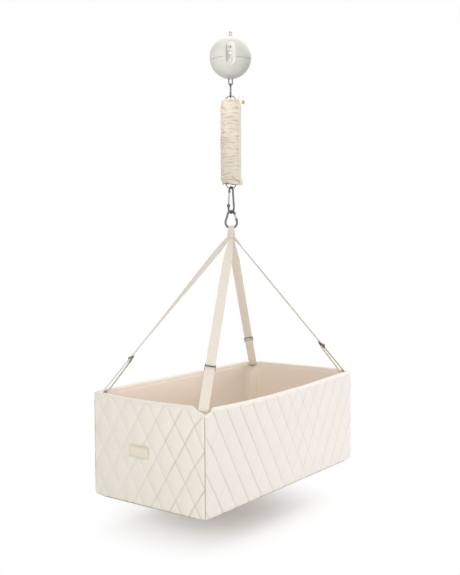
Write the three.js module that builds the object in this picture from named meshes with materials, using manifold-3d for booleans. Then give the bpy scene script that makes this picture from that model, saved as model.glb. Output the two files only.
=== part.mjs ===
// A hanging baby cradle: motor unit, spring in a gathered sleeve, snap hooks, four straps
// with slides, and a quilted basket. Millimetres, +Z up. The origin is the inner top of the
// hanging eye, where a ceiling hook bears, and everything hangs below it. X runs along the
// basket, and the front long side faces -Y.
import * as THREE from 'three';
import { mergeVertices } from 'three/addons/utils/BufferGeometryUtils.js';
import Module from 'manifold-3d';

const wasm = await Module();
wasm.setup();

// Clearance between pieces that touch, and how far a cutter runs past what it cuts
const gap = 0.3;
const overrun = 3;

// Turns about the hanging axis in degrees: the control panel faces the front left corner
const hardwareTurn = -53;
const upperHookTurn = 29;

// Hanging eye and swivel
const eyeWidth = 18;
const eyeWire = 4;
const eyeNeck = 0.8;
const shankRadius = 3;
const swivelNutRadius = 8;
const swivelNutHeight = 6;

// Ball housing of the motor unit
const ballRadius = 70;
const shellWall = 3;
const hubRadius = 8;
const bossRadius = 4.5;
const screwRadius = 1.6;
const screwHeadRadius = 3;
const screwHeadHeight = 2.4;
const screwPocketDepth = 9;

// Sizes in the ball that grow with it, as shares of its radius
const ballShares = {
  seamDrop: 0.1385, bossReachU: 0.4615, bossReachV: 0.5077, bossRise: 0.2154, panelWidth: 0.4923,
  panelHeight: 1.1385, panelRise: 0.0308, upperButtonRise: 0.0615, lowerButtonDrop: 0.2923,
  lampRise: 0.3231, boardWidth: 0.4154, boardHeight: 0.8923, inletOut: 0.4769,
  chassisHalfWidth: 0.2615, chassisFront: 0.2154, chassisTopDrop: 0.1154,
  chassisBottomRise: 0.1692, drumRadius: 0.1538, drumFlangeRadius: 0.2154, drumRise: 0.1231,
  beltWidth: 0.2154, gearboxRadius: 0.2, gearboxLength: 0.1846, motorRadius: 0.1846,
  motorLength: 0.2769, bailStroke: 0.4615, crossheadHeight: 0.1385,
};

// Control panel, its buttons, lamp window and circuit board
const panelFloorDeep = 13;
const panelFloorThickness = 2.5;
const panelWall = 1.8;
const buttonRadius = 5.6;
const buttonTravel = 1.2;
const buttonProud = 3.2;
const buttonFlangeRadius = 7.2;
const buttonFlange = 1.2;
const buttonTailRadius = 2.5;
const lampRadius = 2.4;
const lampProud = 0.6;
const standoffRadius = 2;
const boardThickness = 1.6;
const boardBehindFloor = 9;
const switchWidth = 6;
const switchHeight = 3.5;

// Power inlet, on top of the ball towards the back
const inletRadius = 6;
const inletBore = 3.2;
const inletDepth = 12;
const inletPinRadius = 1;
const inletPinLength = 9;
const inletFlangeRadius = 8.5;
const inletLength = 24;

// Chassis, drum, belt and drive inside the ball
const chassisPlate = 2.5;
const chassisBehindRoom = 0.5;
const drumFlange = 2;
const axleRadius = 3;
const axleInGearbox = 8;
const beltThickness = 1.2;
const beltSideRoom = 2;
const bushRadius = 11;
const bushFlangeRadius = 13.5;
const bushFlange = 2.5;
const bushSleeveWall = 3;
const bushProud = 0.4;
const bailPassRadius = 9.5;

// Lifting bail, the U of wire that comes out under the ball, and its crosshead inside
const bailWidth = 16;
const bailWire = 4;
const bailReach = 23.5;
const crossheadHalfWidth = 10;
const crossheadDepth = 10;

// Small snap hook between bail and spring
const linkLength = 50;
const linkTopWidth = 17;
const linkBottomWidth = 24;
const linkWire = 5;

// Spring rings, plugs, coil and safety cord
const ringWidth = 38;
const ringWire = 3;
const springWidth = 40;
const springWire = 4;
const springTurns = 18;
const plugBelowRing = 1.5;
const plugDisc = 12;
const plugNeckDepth = 10;
const plugNeckThickness = 7;
const plugNeckHeight = 9;
const plugEyeSlack = 0.4;
const safetyCordRadius = 2.5;
const safetyCordCoilRadius = 9;
const safetyCordTurns = 5;

// Gathered sleeve over the spring, and its drawstring
const sleeveTopBelowRing = 16;
const sleeveLength = 281;
const ringBelowSleeve = 17;
const sleeveWidth = 70;
const sleeveBore = 21.5;
const ruffleDepth = 4.5;
const ruffleCount = 24;
const ruffleWaver = 1.2;
const sleeveEndWidth = 58;
const stopperOut = 42;
const stopperRadius = 5.2;
const stopperHeight = 11;
const stopperDrop = 1;
const stopperBore = 1.8;
const stringRadius = 1.4;
const knotRadius = 4.6;

// Snap hooks below the spring
const upperHookLength = 94;
const upperHookTopWidth = 30;
const upperHookBottomWidth = 44;
const upperHookWire = 6.5;
const lowerHookLength = 66;
const lowerHookTopWidth = 30;
const lowerHookBottomWidth = 46;
const lowerHookWire = 7;

// Shares of a snap hook's wire, and of the straight side that its gate closes
const hookShares = {
  pin: 0.2, tongue: 0.28, tongueRound: 0.45, gateBar: 0.42, gateStart: 0.85, cheekTop: 0.35,
  cheekSide: 0.62, cheekHalf: 0.65, forkFoot: 1.1, slotFoot: 0.62, wireStart: 0.8, noseRadius: 0.66,
  noseLength: 1.1, hinge: 1, nose: 0.86,
};

// Strap head: a webbing loop on the lower hook, with the four strap ends sewn into it
const headWidth = 26;
const headThickness = 5;
const headTail = 20;
const headSlack = 0.6;
const headGather = 0.6;

// Straps and their metal slides
const strapWidth = 30;
const strapThickness = 1.8;
const strapEndWidth = 12;
const strapEndSpread = 6.6;
const strapSewn = 13;
const strapBend = 9;
const strapWidening = 95;
const frontTwist = 70;
const sideTwist = 150;
const slideUp = 142;
const slidePitch = 9;
const slideBar = 3;
const slideSide = 2.5;
const slideRoom = 0.5;
const tailLength = 8;
const loopSlack = 3.4;

// Basket walls, floor and rim
const basketLength = 870;
const basketWidth = 450;
const basketHeight = 330;
const rimDepth = 1178;
const panelBase = 4;
const panelCrown = 3.2;
const diamondsAlong = 13;
const diamondsAcross = 6;
const diamondsUp = 3;
const frameTube = 10;
const frameCut = 26;
const notchWidth = 43;
const notchDepth = 21;
const bindingThickness = 2;
const coreThickness = 10.6;
const liningThickness = 2;
const baseThickness = 3;
const floorThickness = 5;

// Mattress and blank label patch
const mattressHeight = 45;
const mattressCrown = 6;
const mattressRoom = 4;
const mattressCorner = 70;
const mattressTuck = 7;
const mattressShoulder = 70;
const labelWidth = 82;
const labelHeight = 37;
const labelThickness = 1.2;
const labelCorner = 4;
const labelAlong = 29.5;
const labelRise = 166;

// Numbers of flats and steps on round shapes
const wireSides = 8;
const roundSides = 12;
const ballSides = 24;
const ringSteps = 20;
const arcSteps = 12;
const bendSteps = 5;
const twistSteps = 8;
const cornerSteps = 4;
const headSteps = 4;
const stringSteps = 18;
const curlSteps = 8;
const curlSides = 5;

// Sizes in the ball that follow from its radius
const seamDrop = ballRadius * ballShares.seamDrop;
const bossReachU = ballRadius * ballShares.bossReachU;
const bossReachV = ballRadius * ballShares.bossReachV;
const bossRise = ballRadius * ballShares.bossRise;
const panelWidth = ballRadius * ballShares.panelWidth;
const panelHeight = ballRadius * ballShares.panelHeight;
const panelRise = ballRadius * ballShares.panelRise;
const upperButtonRise = ballRadius * ballShares.upperButtonRise;
const lowerButtonDrop = ballRadius * ballShares.lowerButtonDrop;
const lampRise = ballRadius * ballShares.lampRise;
const boardWidth = ballRadius * ballShares.boardWidth;
const boardHeight = ballRadius * ballShares.boardHeight;
const inletOut = ballRadius * ballShares.inletOut;
const chassisHalfWidth = ballRadius * ballShares.chassisHalfWidth;
const chassisFront = ballRadius * ballShares.chassisFront;
const chassisTopDrop = ballRadius * ballShares.chassisTopDrop;
const chassisBottomRise = ballRadius * ballShares.chassisBottomRise;
const drumRadius = ballRadius * ballShares.drumRadius;
const drumFlangeRadius = ballRadius * ballShares.drumFlangeRadius;
const drumRise = ballRadius * ballShares.drumRise;
const beltWidth = ballRadius * ballShares.beltWidth;
const gearboxRadius = ballRadius * ballShares.gearboxRadius;
const gearboxLength = ballRadius * ballShares.gearboxLength;
const motorRadius = ballRadius * ballShares.motorRadius;
const motorLength = ballRadius * ballShares.motorLength;
const bailStroke = ballRadius * ballShares.bailStroke;
const crossheadHeight = ballRadius * ballShares.crossheadHeight;
const panelFloorOut = ballRadius - panelFloorDeep;
const chassisBack = inletOut - inletFlangeRadius - chassisBehindRoom;

// Places that follow from the sizes above, from the top down
const turn = THREE.MathUtils.degToRad(hardwareTurn);
const halfLength = basketLength / 2;
const halfWidth = basketWidth / 2;
const eyeInner = eyeWidth / 2 - eyeWire;
const ballTopZ = -eyeInner - eyeWidth / 2 - eyeNeck;
const ballZ = ballTopZ - ballRadius;
const ballBottomZ = ballZ - ballRadius;
const innerRadius = ballRadius - shellWall;
const farOut = ballRadius + overrun;
const seamZ = ballZ - seamDrop;
const panelZ = ballZ + panelRise;
const panelFloorBack = panelFloorOut - panelFloorThickness;
const chassisTopZ = ballZ + innerRadius - chassisTopDrop;
const chassisBottomZ = ballZ - innerRadius + chassisBottomRise;
const drumZ = ballZ + drumRise;
const drumV = drumRadius + gap + beltThickness / 2;
const bailBottomZ = ballBottomZ - bailReach;
const bailBarTopZ = bailBottomZ + bailWire;
const bailHalf = (bailWidth - bailWire) / 2;
const crossheadZ = chassisBottomZ + chassisPlate + bailStroke + gap * 2;
const linkTopZ = bailBarTopZ + gap + linkWire;
const linkBottomZ = linkTopZ - linkLength;
const topRingTopZ = linkBottomZ + linkWire + gap + ringWire;
const topRingBottomZ = topRingTopZ - ringWidth;
const sleeveTopZ = topRingTopZ - sleeveTopBelowRing;
const sleeveBottomZ = sleeveTopZ - sleeveLength;
const lowRingBottomZ = sleeveBottomZ - ringBelowSleeve;
const lowRingTopZ = lowRingBottomZ + ringWidth;
const upperHookTopZ = lowRingBottomZ + ringWire + gap + upperHookWire;
const upperHookBottomZ = upperHookTopZ - upperHookLength;
const lowerHookTopZ = upperHookBottomZ + upperHookWire + gap + lowerHookWire;
const lowerHookBottomZ = lowerHookTopZ - lowerHookLength;
const headBarZ = lowerHookBottomZ + lowerHookWire / 2;
const headBore = lowerHookWire / 2 + gap + headSlack;
const headFootZ = headBarZ - headTail;
const strapEndLayer = headBore - gap - strapThickness / 2;
const rimZ = -rimDepth;
const undersideZ = rimZ - basketHeight;
const wallThickness = panelBase + gap + coreThickness + gap + liningThickness;
const frameInset = panelBase + gap + frameTube / 2;
const cornerStripRadius = panelBase / 2;
const frameZ = rimZ - bindingThickness - gap - frameTube / 2;
const wallTopZ = rimZ - bindingThickness - gap;
const wallFootZ = undersideZ + baseThickness + gap;
const boardFootZ = wallFootZ + floorThickness + gap;

// Materials, with colours from the photograph
function finish(color, roughness, metalness = 0) {
  return new THREE.MeshStandardMaterial({ color, roughness, metalness });
}
const quilt = finish(0xefe6d8, 0.9);
const liningCloth = finish(0xd2bfa6, 0.95);
const webbing = finish(0xe8dece, 0.9);
const sleeveCloth = finish(0xeee3cf, 0.95);
const tanWood = finish(0xb98a58, 0.6);
const labelCloth = finish(0xe3d8c2, 0.9);
const shellPlastic = finish(0xd0cfc4, 0.45);
const panelPlastic = finish(0xdad9d0, 0.4);
const darkPlastic = finish(0x2c2b2a, 0.4);
const steel = finish(0x6f6d6a, 0.35, 1);
const brightSteel = finish(0xa5a5a3, 0.3, 1);
const boardGreen = finish(0x2f6b45, 0.6);
const foam = finish(0xdcd8cf, 1);
const birch = finish(0xcfae7e, 0.7);

// Hardware is built facing -Y and turned as one group; the upper hook has a turn of its own
const cradle = new THREE.Group();
const hardware = new THREE.Group();
hardware.rotation.z = turn;
cradle.add(hardware);

// Turns a three.js geometry into a solid that can be cut or joined, with its faces out
function solid(geometry) {
  const bare = new THREE.BufferGeometry();
  const source = geometry.index ? geometry.toNonIndexed() : geometry;
  bare.setAttribute('position', source.getAttribute('position'));
  const merged = mergeVertices(bare, gap / 1000);
  const vertProperties = new Float32Array(merged.attributes.position.array);
  const triVerts = new Uint32Array(merged.index.array);
  const made = new wasm.Manifold(new wasm.Mesh({ numProp: 3, vertProperties, triVerts }));
  if (made.volume() > 0) return made;
  return new wasm.Manifold(new wasm.Mesh({ numProp: 3, vertProperties, triVerts: triVerts.reverse() }));
}

// Gives the geometry of a solid
function shape(manifold) {
  const mesh = manifold.getMesh();
  const geometry = new THREE.BufferGeometry();
  geometry.setAttribute('position', new THREE.BufferAttribute(new Float32Array(mesh.vertProperties), 3));
  geometry.setIndex(new THREE.BufferAttribute(new Uint32Array(mesh.triVerts), 1));
  return geometry;
}

function join(...geometries) {
  return shape(geometries.map(solid).reduce((sum, next) => sum.add(next)));
}

function cut(geometry, ...tools) {
  return shape(tools.map(solid).reduce((rest, tool) => rest.subtract(tool), solid(geometry)));
}

function common(geometry, other) {
  return shape(solid(geometry).intersect(solid(other)));
}

// Adds one named piece to a group
function piece(name, geometry, material, group = cradle) {
  const mesh = new THREE.Mesh(shape(solid(geometry)), material);
  mesh.name = name;
  group.add(mesh);
}

// A block between two corners
function block(xLow, xHigh, yLow, yHigh, zLow, zHigh) {
  const box = new THREE.BoxGeometry(xHigh - xLow, yHigh - yLow, zHigh - zLow);
  return box.translate((xLow + xHigh) / 2, (yLow + yHigh) / 2, (zLow + zHigh) / 2);
}

// Round bars along Z, X and Y between two places
function barZ(radius, low, high, sides = roundSides) {
  const bar = new THREE.CylinderGeometry(radius, radius, high - low, sides);
  return bar.rotateX(Math.PI / 2).translate(0, 0, (low + high) / 2);
}

function barX(radius, low, high, sides = roundSides) {
  const bar = new THREE.CylinderGeometry(radius, radius, high - low, sides);
  return bar.rotateZ(Math.PI / 2).translate((low + high) / 2, 0, 0);
}

function barY(radius, low, high, sides = roundSides) {
  const bar = new THREE.CylinderGeometry(radius, radius, high - low, sides);
  return bar.translate(0, (low + high) / 2, 0);
}

function ball(radius, sides = ballSides) {
  return new THREE.SphereGeometry(radius, sides, sides / 2).rotateX(Math.PI / 2);
}

// A wire along a curve
function wireAlong(curve, radius, steps, sides = wireSides) {
  const section = [];
  for (let i = 0; i < sides; i += 1) {
    const angle = (i / sides) * 2 * Math.PI;
    section.push(new THREE.Vector2(Math.cos(angle) * radius, Math.sin(angle) * radius));
  }
  return new THREE.ExtrudeGeometry(new THREE.Shape(section), { steps, extrudePath: curve });
}

// Points of an arc in the XZ plane, given as x and z
function arcPoints(z, radius, from, to) {
  return Array.from({ length: arcSteps + 1 }, (_, i) => {
    const angle = THREE.MathUtils.lerp(from, to, i / arcSteps);
    return new THREE.Vector2(radius * Math.cos(angle), z + radius * Math.sin(angle));
  });
}

// A wire bent through points in the XZ plane, mitred at each of them
function bentWire(points, radius) {
  return loft(points.map((point, i) => {
    const before = points[Math.max(i - 1, 0)];
    const after = points[Math.min(i + 1, points.length - 1)];
    const into = (i > 0 ? point.clone().sub(before) : after.clone().sub(point)).normalize();
    const away = (i + 1 < points.length ? after.clone().sub(point) : into.clone()).normalize();
    const along = into.clone().add(away).normalize();
    const stretch = radius / along.dot(into);
    return Array.from({ length: wireSides }, (_, k) => {
      const angle = (k / wireSides) * 2 * Math.PI;
      const reach = stretch * Math.cos(angle);
      return new THREE.Vector3(point.x - along.y * reach, radius * Math.sin(angle), point.y + along.x * reach);
    });
  }));
}

// A coil about the hanging axis whose ends run straight into its axis' direction
class Coil extends THREE.Curve {
  constructor(radius, turns, topZ, bottomZ, endShare) {
    super();
    Object.assign(this, { radius, turns, topZ, bottomZ, endShare });
  }

  getPoint(t, target = new THREE.Vector3()) {
    const eased = t - (this.endShare * Math.sin(2 * Math.PI * t)) / (2 * Math.PI);
    const angle = eased * this.turns * 2 * Math.PI;
    const z = THREE.MathUtils.lerp(this.topZ, this.bottomZ, t);
    return target.set(Math.cos(angle) * this.radius, Math.sin(angle) * this.radius, z);
  }
}

// A closed wire ring in the XZ plane
function ring(width, wire, z, steps = ringSteps) {
  const torus = new THREE.TorusGeometry((width - wire) / 2, wire / 2, wireSides, steps);
  return torus.rotateX(Math.PI / 2).translate(0, 0, z);
}

// A closed mesh through rings of points, each with as many points, capped at both ends
function loft(rings) {
  const count = rings[0].length;
  const faces = [];
  for (let r = 0; r + 1 < rings.length; r += 1) {
    for (let i = 0; i < count; i += 1) {
      const a = r * count + i;
      const b = r * count + ((i + 1) % count);
      faces.push(a, b, b + count, a, b + count, a + count);
    }
  }
  const last = (rings.length - 1) * count;
  for (let i = 1; i + 1 < count; i += 1) {
    faces.push(0, i + 1, i);
    faces.push(last, last + i, last + i + 1);
  }
  const positions = rings.flat().flatMap((p) => [p.x, p.y, p.z]);
  const geometry = new THREE.BufferGeometry();
  geometry.setAttribute('position', new THREE.Float32BufferAttribute(positions, 3));
  geometry.setIndex(faces);
  return geometry;
}

// A solid of one outline, given as x and z, from one y to another
function slab(outline, yLow, yHigh, curveSegments = roundSides / 2, steps = 1) {
  const options = { depth: yHigh - yLow, bevelEnabled: false, curveSegments, steps };
  return new THREE.ExtrudeGeometry(outline, options).rotateX(Math.PI / 2).translate(0, yHigh, 0);
}

// Hanging eye: ring and shank in one forging, and the nut that carries the chassis on it
function hangingEye() {
  const nutTop = chassisTopZ - chassisPlate - gap;
  const nutFoot = nutTop - swivelNutHeight;
  const shank = barZ(shankRadius, nutFoot - gap, -eyeInner - eyeWidth / 2 + eyeWire / 2);
  piece('hanging_eye', join(ring(eyeWidth, eyeWire, -eyeInner), shank), steel);
  const nut = barZ(swivelNutRadius, nutFoot, nutTop, 6);
  const bore = barZ(shankRadius + gap, nutFoot - overrun, nutTop + overrun);
  piece('swivel_nut', cut(nut, bore), brightSteel);
}

// The stadium of the control panel, as a slab
function stadium(width, height, yLow, yHigh) {
  const outline = new THREE.Shape();
  const radius = width / 2;
  const straight = height / 2 - radius;
  outline.absarc(0, straight, radius, 0, Math.PI, false);
  outline.absarc(0, -straight, radius, Math.PI, Math.PI * 2, false);
  return slab(outline, yLow, yHigh).translate(0, 0, panelZ);
}

// Copies a geometry to the two places of the housing screws
function atScrews(make) {
  return [-bossReachU, bossReachU].map((u) => make().translate(u, bossReachV, 0));
}

// Where a screw's head lies, sunk into the lower shell
function screwFootZ() {
  const reach = Math.hypot(bossReachU, bossReachV);
  return ballZ - Math.sqrt(ballRadius ** 2 - reach ** 2) + screwPocketDepth;
}

function upperHousing() {
  const shell = cut(ball(ballRadius), ball(innerRadius)).translate(0, 0, ballZ);
  const skin = ball(ballRadius - shellWall / 2).translate(0, 0, ballZ);
  const hub = barZ(hubRadius, chassisTopZ + gap, ballTopZ);
  const bosses = atScrews(() => barZ(bossRadius, seamZ, ballTopZ));
  const half = block(-farOut, farOut, -farOut, farOut, seamZ, ballTopZ + overrun);
  return cut(
    common(join(shell, common(join(hub, ...bosses), skin)), half),
    stadium(panelWidth + gap * 2, panelHeight + gap * 2, -farOut, 0),
    barZ(shankRadius + gap, chassisTopZ - overrun, ballTopZ + overrun),
    barZ(inletRadius + gap, ballZ, ballTopZ + overrun).translate(0, inletOut, 0),
    ...atScrews(() => barZ(screwRadius + gap, seamZ - overrun, ballZ + bossRise)),
  );
}

function lowerHousing() {
  const shell = cut(ball(ballRadius), ball(innerRadius)).translate(0, 0, ballZ);
  const skin = ball(ballRadius - shellWall / 2).translate(0, 0, ballZ);
  const hubTop = chassisBottomZ - gap;
  const hub = barZ(bushFlangeRadius + gap + bushSleeveWall, ballBottomZ, hubTop);
  const bosses = atScrews(() => barZ(bossRadius, ballBottomZ, seamZ));
  const half = block(-farOut, farOut, -farOut, farOut, ballBottomZ - overrun, seamZ - gap);
  const pocketTop = screwFootZ() + screwHeadHeight + gap;
  return cut(
    common(join(shell, common(join(hub, ...bosses), skin)), half),
    stadium(panelWidth + gap * 2, panelHeight + gap * 2, -farOut, 0),
    barZ(bushRadius + gap, ballBottomZ - overrun, hubTop + overrun),
    barZ(bushFlangeRadius + gap, hubTop - bushFlange - gap, hubTop + overrun),
    ...atScrews(() => barZ(screwHeadRadius + gap, ballBottomZ, pocketTop)),
    ...atScrews(() => barZ(screwRadius + gap, ballBottomZ, seamZ + overrun)),
  );
}

function housings() {
  piece('upper_housing', upperHousing(), shellPlastic, hardware);
  piece('lower_housing', lowerHousing(), shellPlastic, hardware);
  const foot = screwFootZ();
  const screw = () => join(
    barZ(screwHeadRadius, foot, foot + screwHeadHeight),
    barZ(screwRadius, foot, ballZ + bossRise - gap, wireSides),
  );
  const [left, right] = atScrews(screw);
  piece('left_housing_screw', left, brightSteel, hardware);
  piece('right_housing_screw', right, brightSteel, hardware);
}

// Recessed control panel: a tub whose rim follows the ball, with holes and four standoffs
function controlPanel() {
  const tub = stadium(panelWidth, panelHeight, -farOut, -panelFloorBack);
  const inside = panelWidth - panelWall * 2;
  const hollow = stadium(inside, panelHeight - panelWall * 2, -farOut - overrun, -panelFloorOut);
  const rim = common(cut(tub, hollow), ball(ballRadius).translate(0, 0, ballZ));
  const holes = [[buttonRadius, upperButtonRise], [buttonRadius, -lowerButtonDrop], [lampRadius, lampRise]];
  const bores = holes.map(([radius, rise]) => (
    barY(radius + gap, -farOut, -panelFloorBack + overrun).translate(0, 0, ballZ + rise)
  ));
  const standoffs = [];
  const standU = boardWidth / 2 - standoffRadius;
  const standZ = boardHeight / 2 - standoffRadius;
  [-standU, standU].forEach((u) => [-standZ, standZ].forEach((z) => {
    const from = -panelFloorBack - panelFloorThickness / 2;
    const to = -panelFloorBack + boardBehindFloor - gap;
    standoffs.push(barY(standoffRadius, from, to, wireSides).translate(u, 0, panelZ + z));
  }));
  piece('control_panel', join(cut(rim, ...bores), ...standoffs), panelPlastic, hardware);
}

// Turned profile about -Y at a height on the panel; the points are radius and distance out
function turned(points, z) {
  const profile = points.map(([radius, out]) => new THREE.Vector2(radius, out));
  return new THREE.LatheGeometry(profile, roundSides).rotateX(Math.PI).translate(0, 0, z);
}

// A domed button in the panel's hole, held by its flange, with a tail that meets the switch
function button(name, z) {
  const flangeTop = panelFloorBack - gap;
  const tailEnd = panelFloorBack - boardBehindFloor + switchHeight + buttonTravel + gap;
  const domeEdge = panelFloorOut + buttonProud / 2;
  piece(name, turned([
    [0, tailEnd], [buttonTailRadius, tailEnd], [buttonTailRadius, flangeTop - buttonFlange],
    [buttonFlangeRadius, flangeTop - buttonFlange], [buttonFlangeRadius, flangeTop],
    [buttonRadius, flangeTop], [buttonRadius, domeEdge],
    [buttonRadius * Math.SQRT1_2, panelFloorOut + buttonProud * Math.cos(Math.PI / 8)],
    [0, panelFloorOut + buttonProud],
  ], z), panelPlastic, hardware);
}

// Dark lamp window in the panel, with a rim behind the floor
function lampWindow() {
  const rimTop = panelFloorBack - gap;
  piece('lamp_window', turned([
    [0, rimTop - buttonFlange], [lampRadius + buttonFlange, rimTop - buttonFlange],
    [lampRadius + buttonFlange, rimTop], [lampRadius, rimTop],
    [lampRadius, panelFloorOut + lampProud / 2], [0, panelFloorOut + lampProud],
  ], ballZ + lampRise), darkPlastic, hardware);
}

// Circuit board on the panel's standoffs, with one switch behind each button
function circuitBoard() {
  const front = -panelFloorBack + boardBehindFloor;
  const halfU = boardWidth / 2;
  const halfZ = boardHeight / 2;
  const board = block(-halfU, halfU, front, front + boardThickness, panelZ - halfZ, panelZ + halfZ);
  const half = switchWidth / 2;
  const switches = [upperButtonRise, -lowerButtonDrop].map((rise) => (
    block(-half, half, front - switchHeight, front + gap, ballZ + rise - half, ballZ + rise + half)
  ));
  piece('circuit_board', join(board, ...switches), boardGreen, hardware);
}

// Power inlet: a socket flush with the ball, held by a flange behind the shell
function powerInlet() {
  const top = ballZ + Math.sqrt(ballRadius ** 2 - inletOut ** 2);
  const foot = top - inletLength;
  const barrel = common(
    barZ(inletRadius, foot, ballTopZ).translate(0, inletOut, 0),
    ball(ballRadius).translate(0, 0, ballZ),
  );
  const flange = common(
    barZ(inletFlangeRadius, foot, ballTopZ).translate(0, inletOut, 0),
    ball(innerRadius - gap).translate(0, 0, ballZ),
  );
  const bore = barZ(inletBore, top - inletDepth, ballTopZ + overrun).translate(0, inletOut, 0);
  const pinFoot = top - inletDepth - overrun;
  const pin = barZ(inletPinRadius, pinFoot, top - inletDepth + inletPinLength, wireSides);
  const socket = join(cut(join(barrel, flange), bore), pin.translate(0, inletOut, 0));
  piece('power_inlet', socket, darkPlastic, hardware);
}

// Steel chassis: a box frame of two side plates, a top and a bottom plate
function chassis() {
  const inside = chassisHalfWidth - chassisPlate;
  const outer = block(
    -chassisHalfWidth, chassisHalfWidth, -chassisFront, chassisBack, chassisBottomZ, chassisTopZ,
  );
  const hollow = block(
    -inside, inside, -farOut, farOut, chassisBottomZ + chassisPlate, chassisTopZ - chassisPlate,
  );
  const axleHole = barX(axleRadius + gap, -farOut, farOut).translate(0, drumV, drumZ);
  const shankHole = barZ(shankRadius + gap, chassisTopZ - chassisPlate * 2, chassisTopZ + overrun);
  const bailHole = barZ(bailPassRadius, chassisBottomZ - overrun, chassisBottomZ + chassisPlate * 2);
  piece('motor_chassis', cut(outer, hollow, axleHole, shankHole, bailHole), brightSteel, hardware);
}

// Gearmotor on the chassis' side, and the winch drum on its axle
function drive() {
  const plate = chassisHalfWidth + gap;
  const gearboxEnd = plate + gearboxLength;
  const axleEnd = plate + axleInGearbox;
  const place = (geometry) => geometry.translate(0, drumV, drumZ);
  const socket = barX(axleRadius + gap, plate - overrun, axleEnd + gap);
  piece('gearbox', place(cut(barX(gearboxRadius, plate, gearboxEnd), socket)), darkPlastic, hardware);
  const motor = barX(motorRadius, gearboxEnd + gap, gearboxEnd + gap + motorLength);
  piece('drive_motor', place(motor), brightSteel, hardware);
  const inside = beltWidth / 2 + beltSideRoom;
  const drum = join(
    barX(drumRadius, -inside, inside, roundSides * 2),
    barX(drumFlangeRadius, -inside - drumFlange, -inside),
    barX(drumFlangeRadius, inside, inside + drumFlange),
    barX(axleRadius, -chassisHalfWidth, axleEnd),
  );
  piece('winch_drum', place(drum), brightSteel, hardware);
  const belt = block(
    -beltWidth / 2, beltWidth / 2, -beltThickness / 2, beltThickness / 2,
    crossheadZ + crossheadHeight + gap, drumZ,
  );
  piece('lift_belt', belt, darkPlastic, hardware);
}

// Lifting bail: a U of wire whose legs run up through the guide bush to the crosshead
function liftingBail() {
  const legTop = crossheadZ + crossheadHeight / 2;
  const wire = bentWire([
    new THREE.Vector2(-bailHalf, legTop),
    ...arcPoints(bailBottomZ + bailWidth / 2, bailHalf, -Math.PI, 0),
    new THREE.Vector2(bailHalf, legTop),
  ], bailWire / 2);
  const head = block(
    -crossheadHalfWidth, crossheadHalfWidth, -crossheadDepth / 2, crossheadDepth / 2,
    crossheadZ, crossheadZ + crossheadHeight,
  );
  piece('lifting_bail', join(wire, head), steel, hardware);
  const hubTop = chassisBottomZ - gap * 2;
  const body = join(
    barZ(bushRadius, ballBottomZ - bushProud, hubTop),
    barZ(bushFlangeRadius, hubTop - bushFlange, hubTop),
  );
  const holes = [-bailHalf, bailHalf].map((u) => (
    barZ(bailWire / 2 + gap, ballBottomZ - overrun, hubTop + overrun).translate(u, 0, 0)
  ));
  piece('guide_bush', cut(body, ...holes), shellPlastic, hardware);
}

// The outline of a snap hook's centre line: a small arc above, a large one below
function hookOutline(length, topWidth, bottomWidth, wire) {
  const top = (topWidth - wire) / 2;
  const bottom = (bottomWidth - wire) / 2;
  const topZ = -wire / 2 - top;
  const bottomZ = -length + wire / 2 + bottom;
  const lean = Math.asin((bottom - top) / (topZ - bottomZ));
  const low = new THREE.Vector2(bottom * Math.cos(lean), bottomZ + bottom * Math.sin(lean));
  const high = new THREE.Vector2(top * Math.cos(lean), topZ + top * Math.sin(lean));
  const nose = low.clone().lerp(high, hookShares.nose);
  const along = high.clone().sub(low).normalize();
  const hinge = low.clone().addScaledVector(along, wire * hookShares.hinge);
  return { top, bottom, topZ, bottomZ, lean, low, high, hinge, nose, along, wire };
}

// The hook's body: one bent bar with a forked hinge end and a thick nose
function hookBody(o) {
  const s = hookShares;
  const start = o.hinge.clone().addScaledVector(o.along, -o.wire * s.wireStart);
  const wire = bentWire([
    start,
    ...arcPoints(o.bottomZ, o.bottom, o.lean, -Math.PI - o.lean),
    ...arcPoints(o.topZ, o.top, Math.PI - o.lean, o.lean),
    o.nose,
  ], o.wire / 2);
  const tip = place(barZ(o.wire * s.noseRadius, 0, o.wire * s.noseLength, wireSides), o, o.nose);
  const side = o.wire * s.cheekSide;
  const cheek = o.wire * s.cheekHalf;
  const fork = block(-side, side, -cheek, cheek, -o.wire * s.forkFoot, o.wire * s.cheekTop);
  const half = o.wire * s.tongue + gap;
  const slot = block(-o.wire, o.wire, -half, half, -o.wire * s.slotFoot, o.wire);
  const pin = barY(o.wire * s.pin, -cheek, cheek, wireSides);
  return join(wire, tip, place(join(cut(fork, slot), pin), o, o.hinge));
}

// Leans a shape with the hook's straight side and moves it to a point of that side
function place(geometry, o, point) {
  return geometry.rotateY(-o.lean).translate(point.x, 0, point.y);
}

// The gate: a bar from the hinge pin to the nose, with a flat tongue on the pin
function hookGate(o) {
  const s = hookShares;
  const half = o.wire * s.tongue;
  const bar = o.wire * s.gateBar;
  const end = o.hinge.distanceTo(o.nose) - gap;
  const body = join(
    barY(o.wire * s.tongueRound, -half, half),
    block(-bar, bar, -half, half, 0, o.wire * (s.gateStart + s.pin)),
    barZ(bar, o.wire * s.gateStart, end, roundSides / 2),
  );
  const hole = barY(o.wire * s.pin + gap, -o.wire, o.wire, wireSides);
  return place(cut(body, hole), o, o.hinge);
}

// Adds a hook and its gate at a height, turned about the hanging axis
function snapHook(names, outline, topZ, turnZ) {
  [hookBody(outline), hookGate(outline)].forEach((geometry, i) => {
    const metal = i === 0 ? steel : brightSteel;
    piece(names[i], geometry.rotateZ(turnZ).translate(0, 0, topZ), metal, hardware);
  });
}

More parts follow.
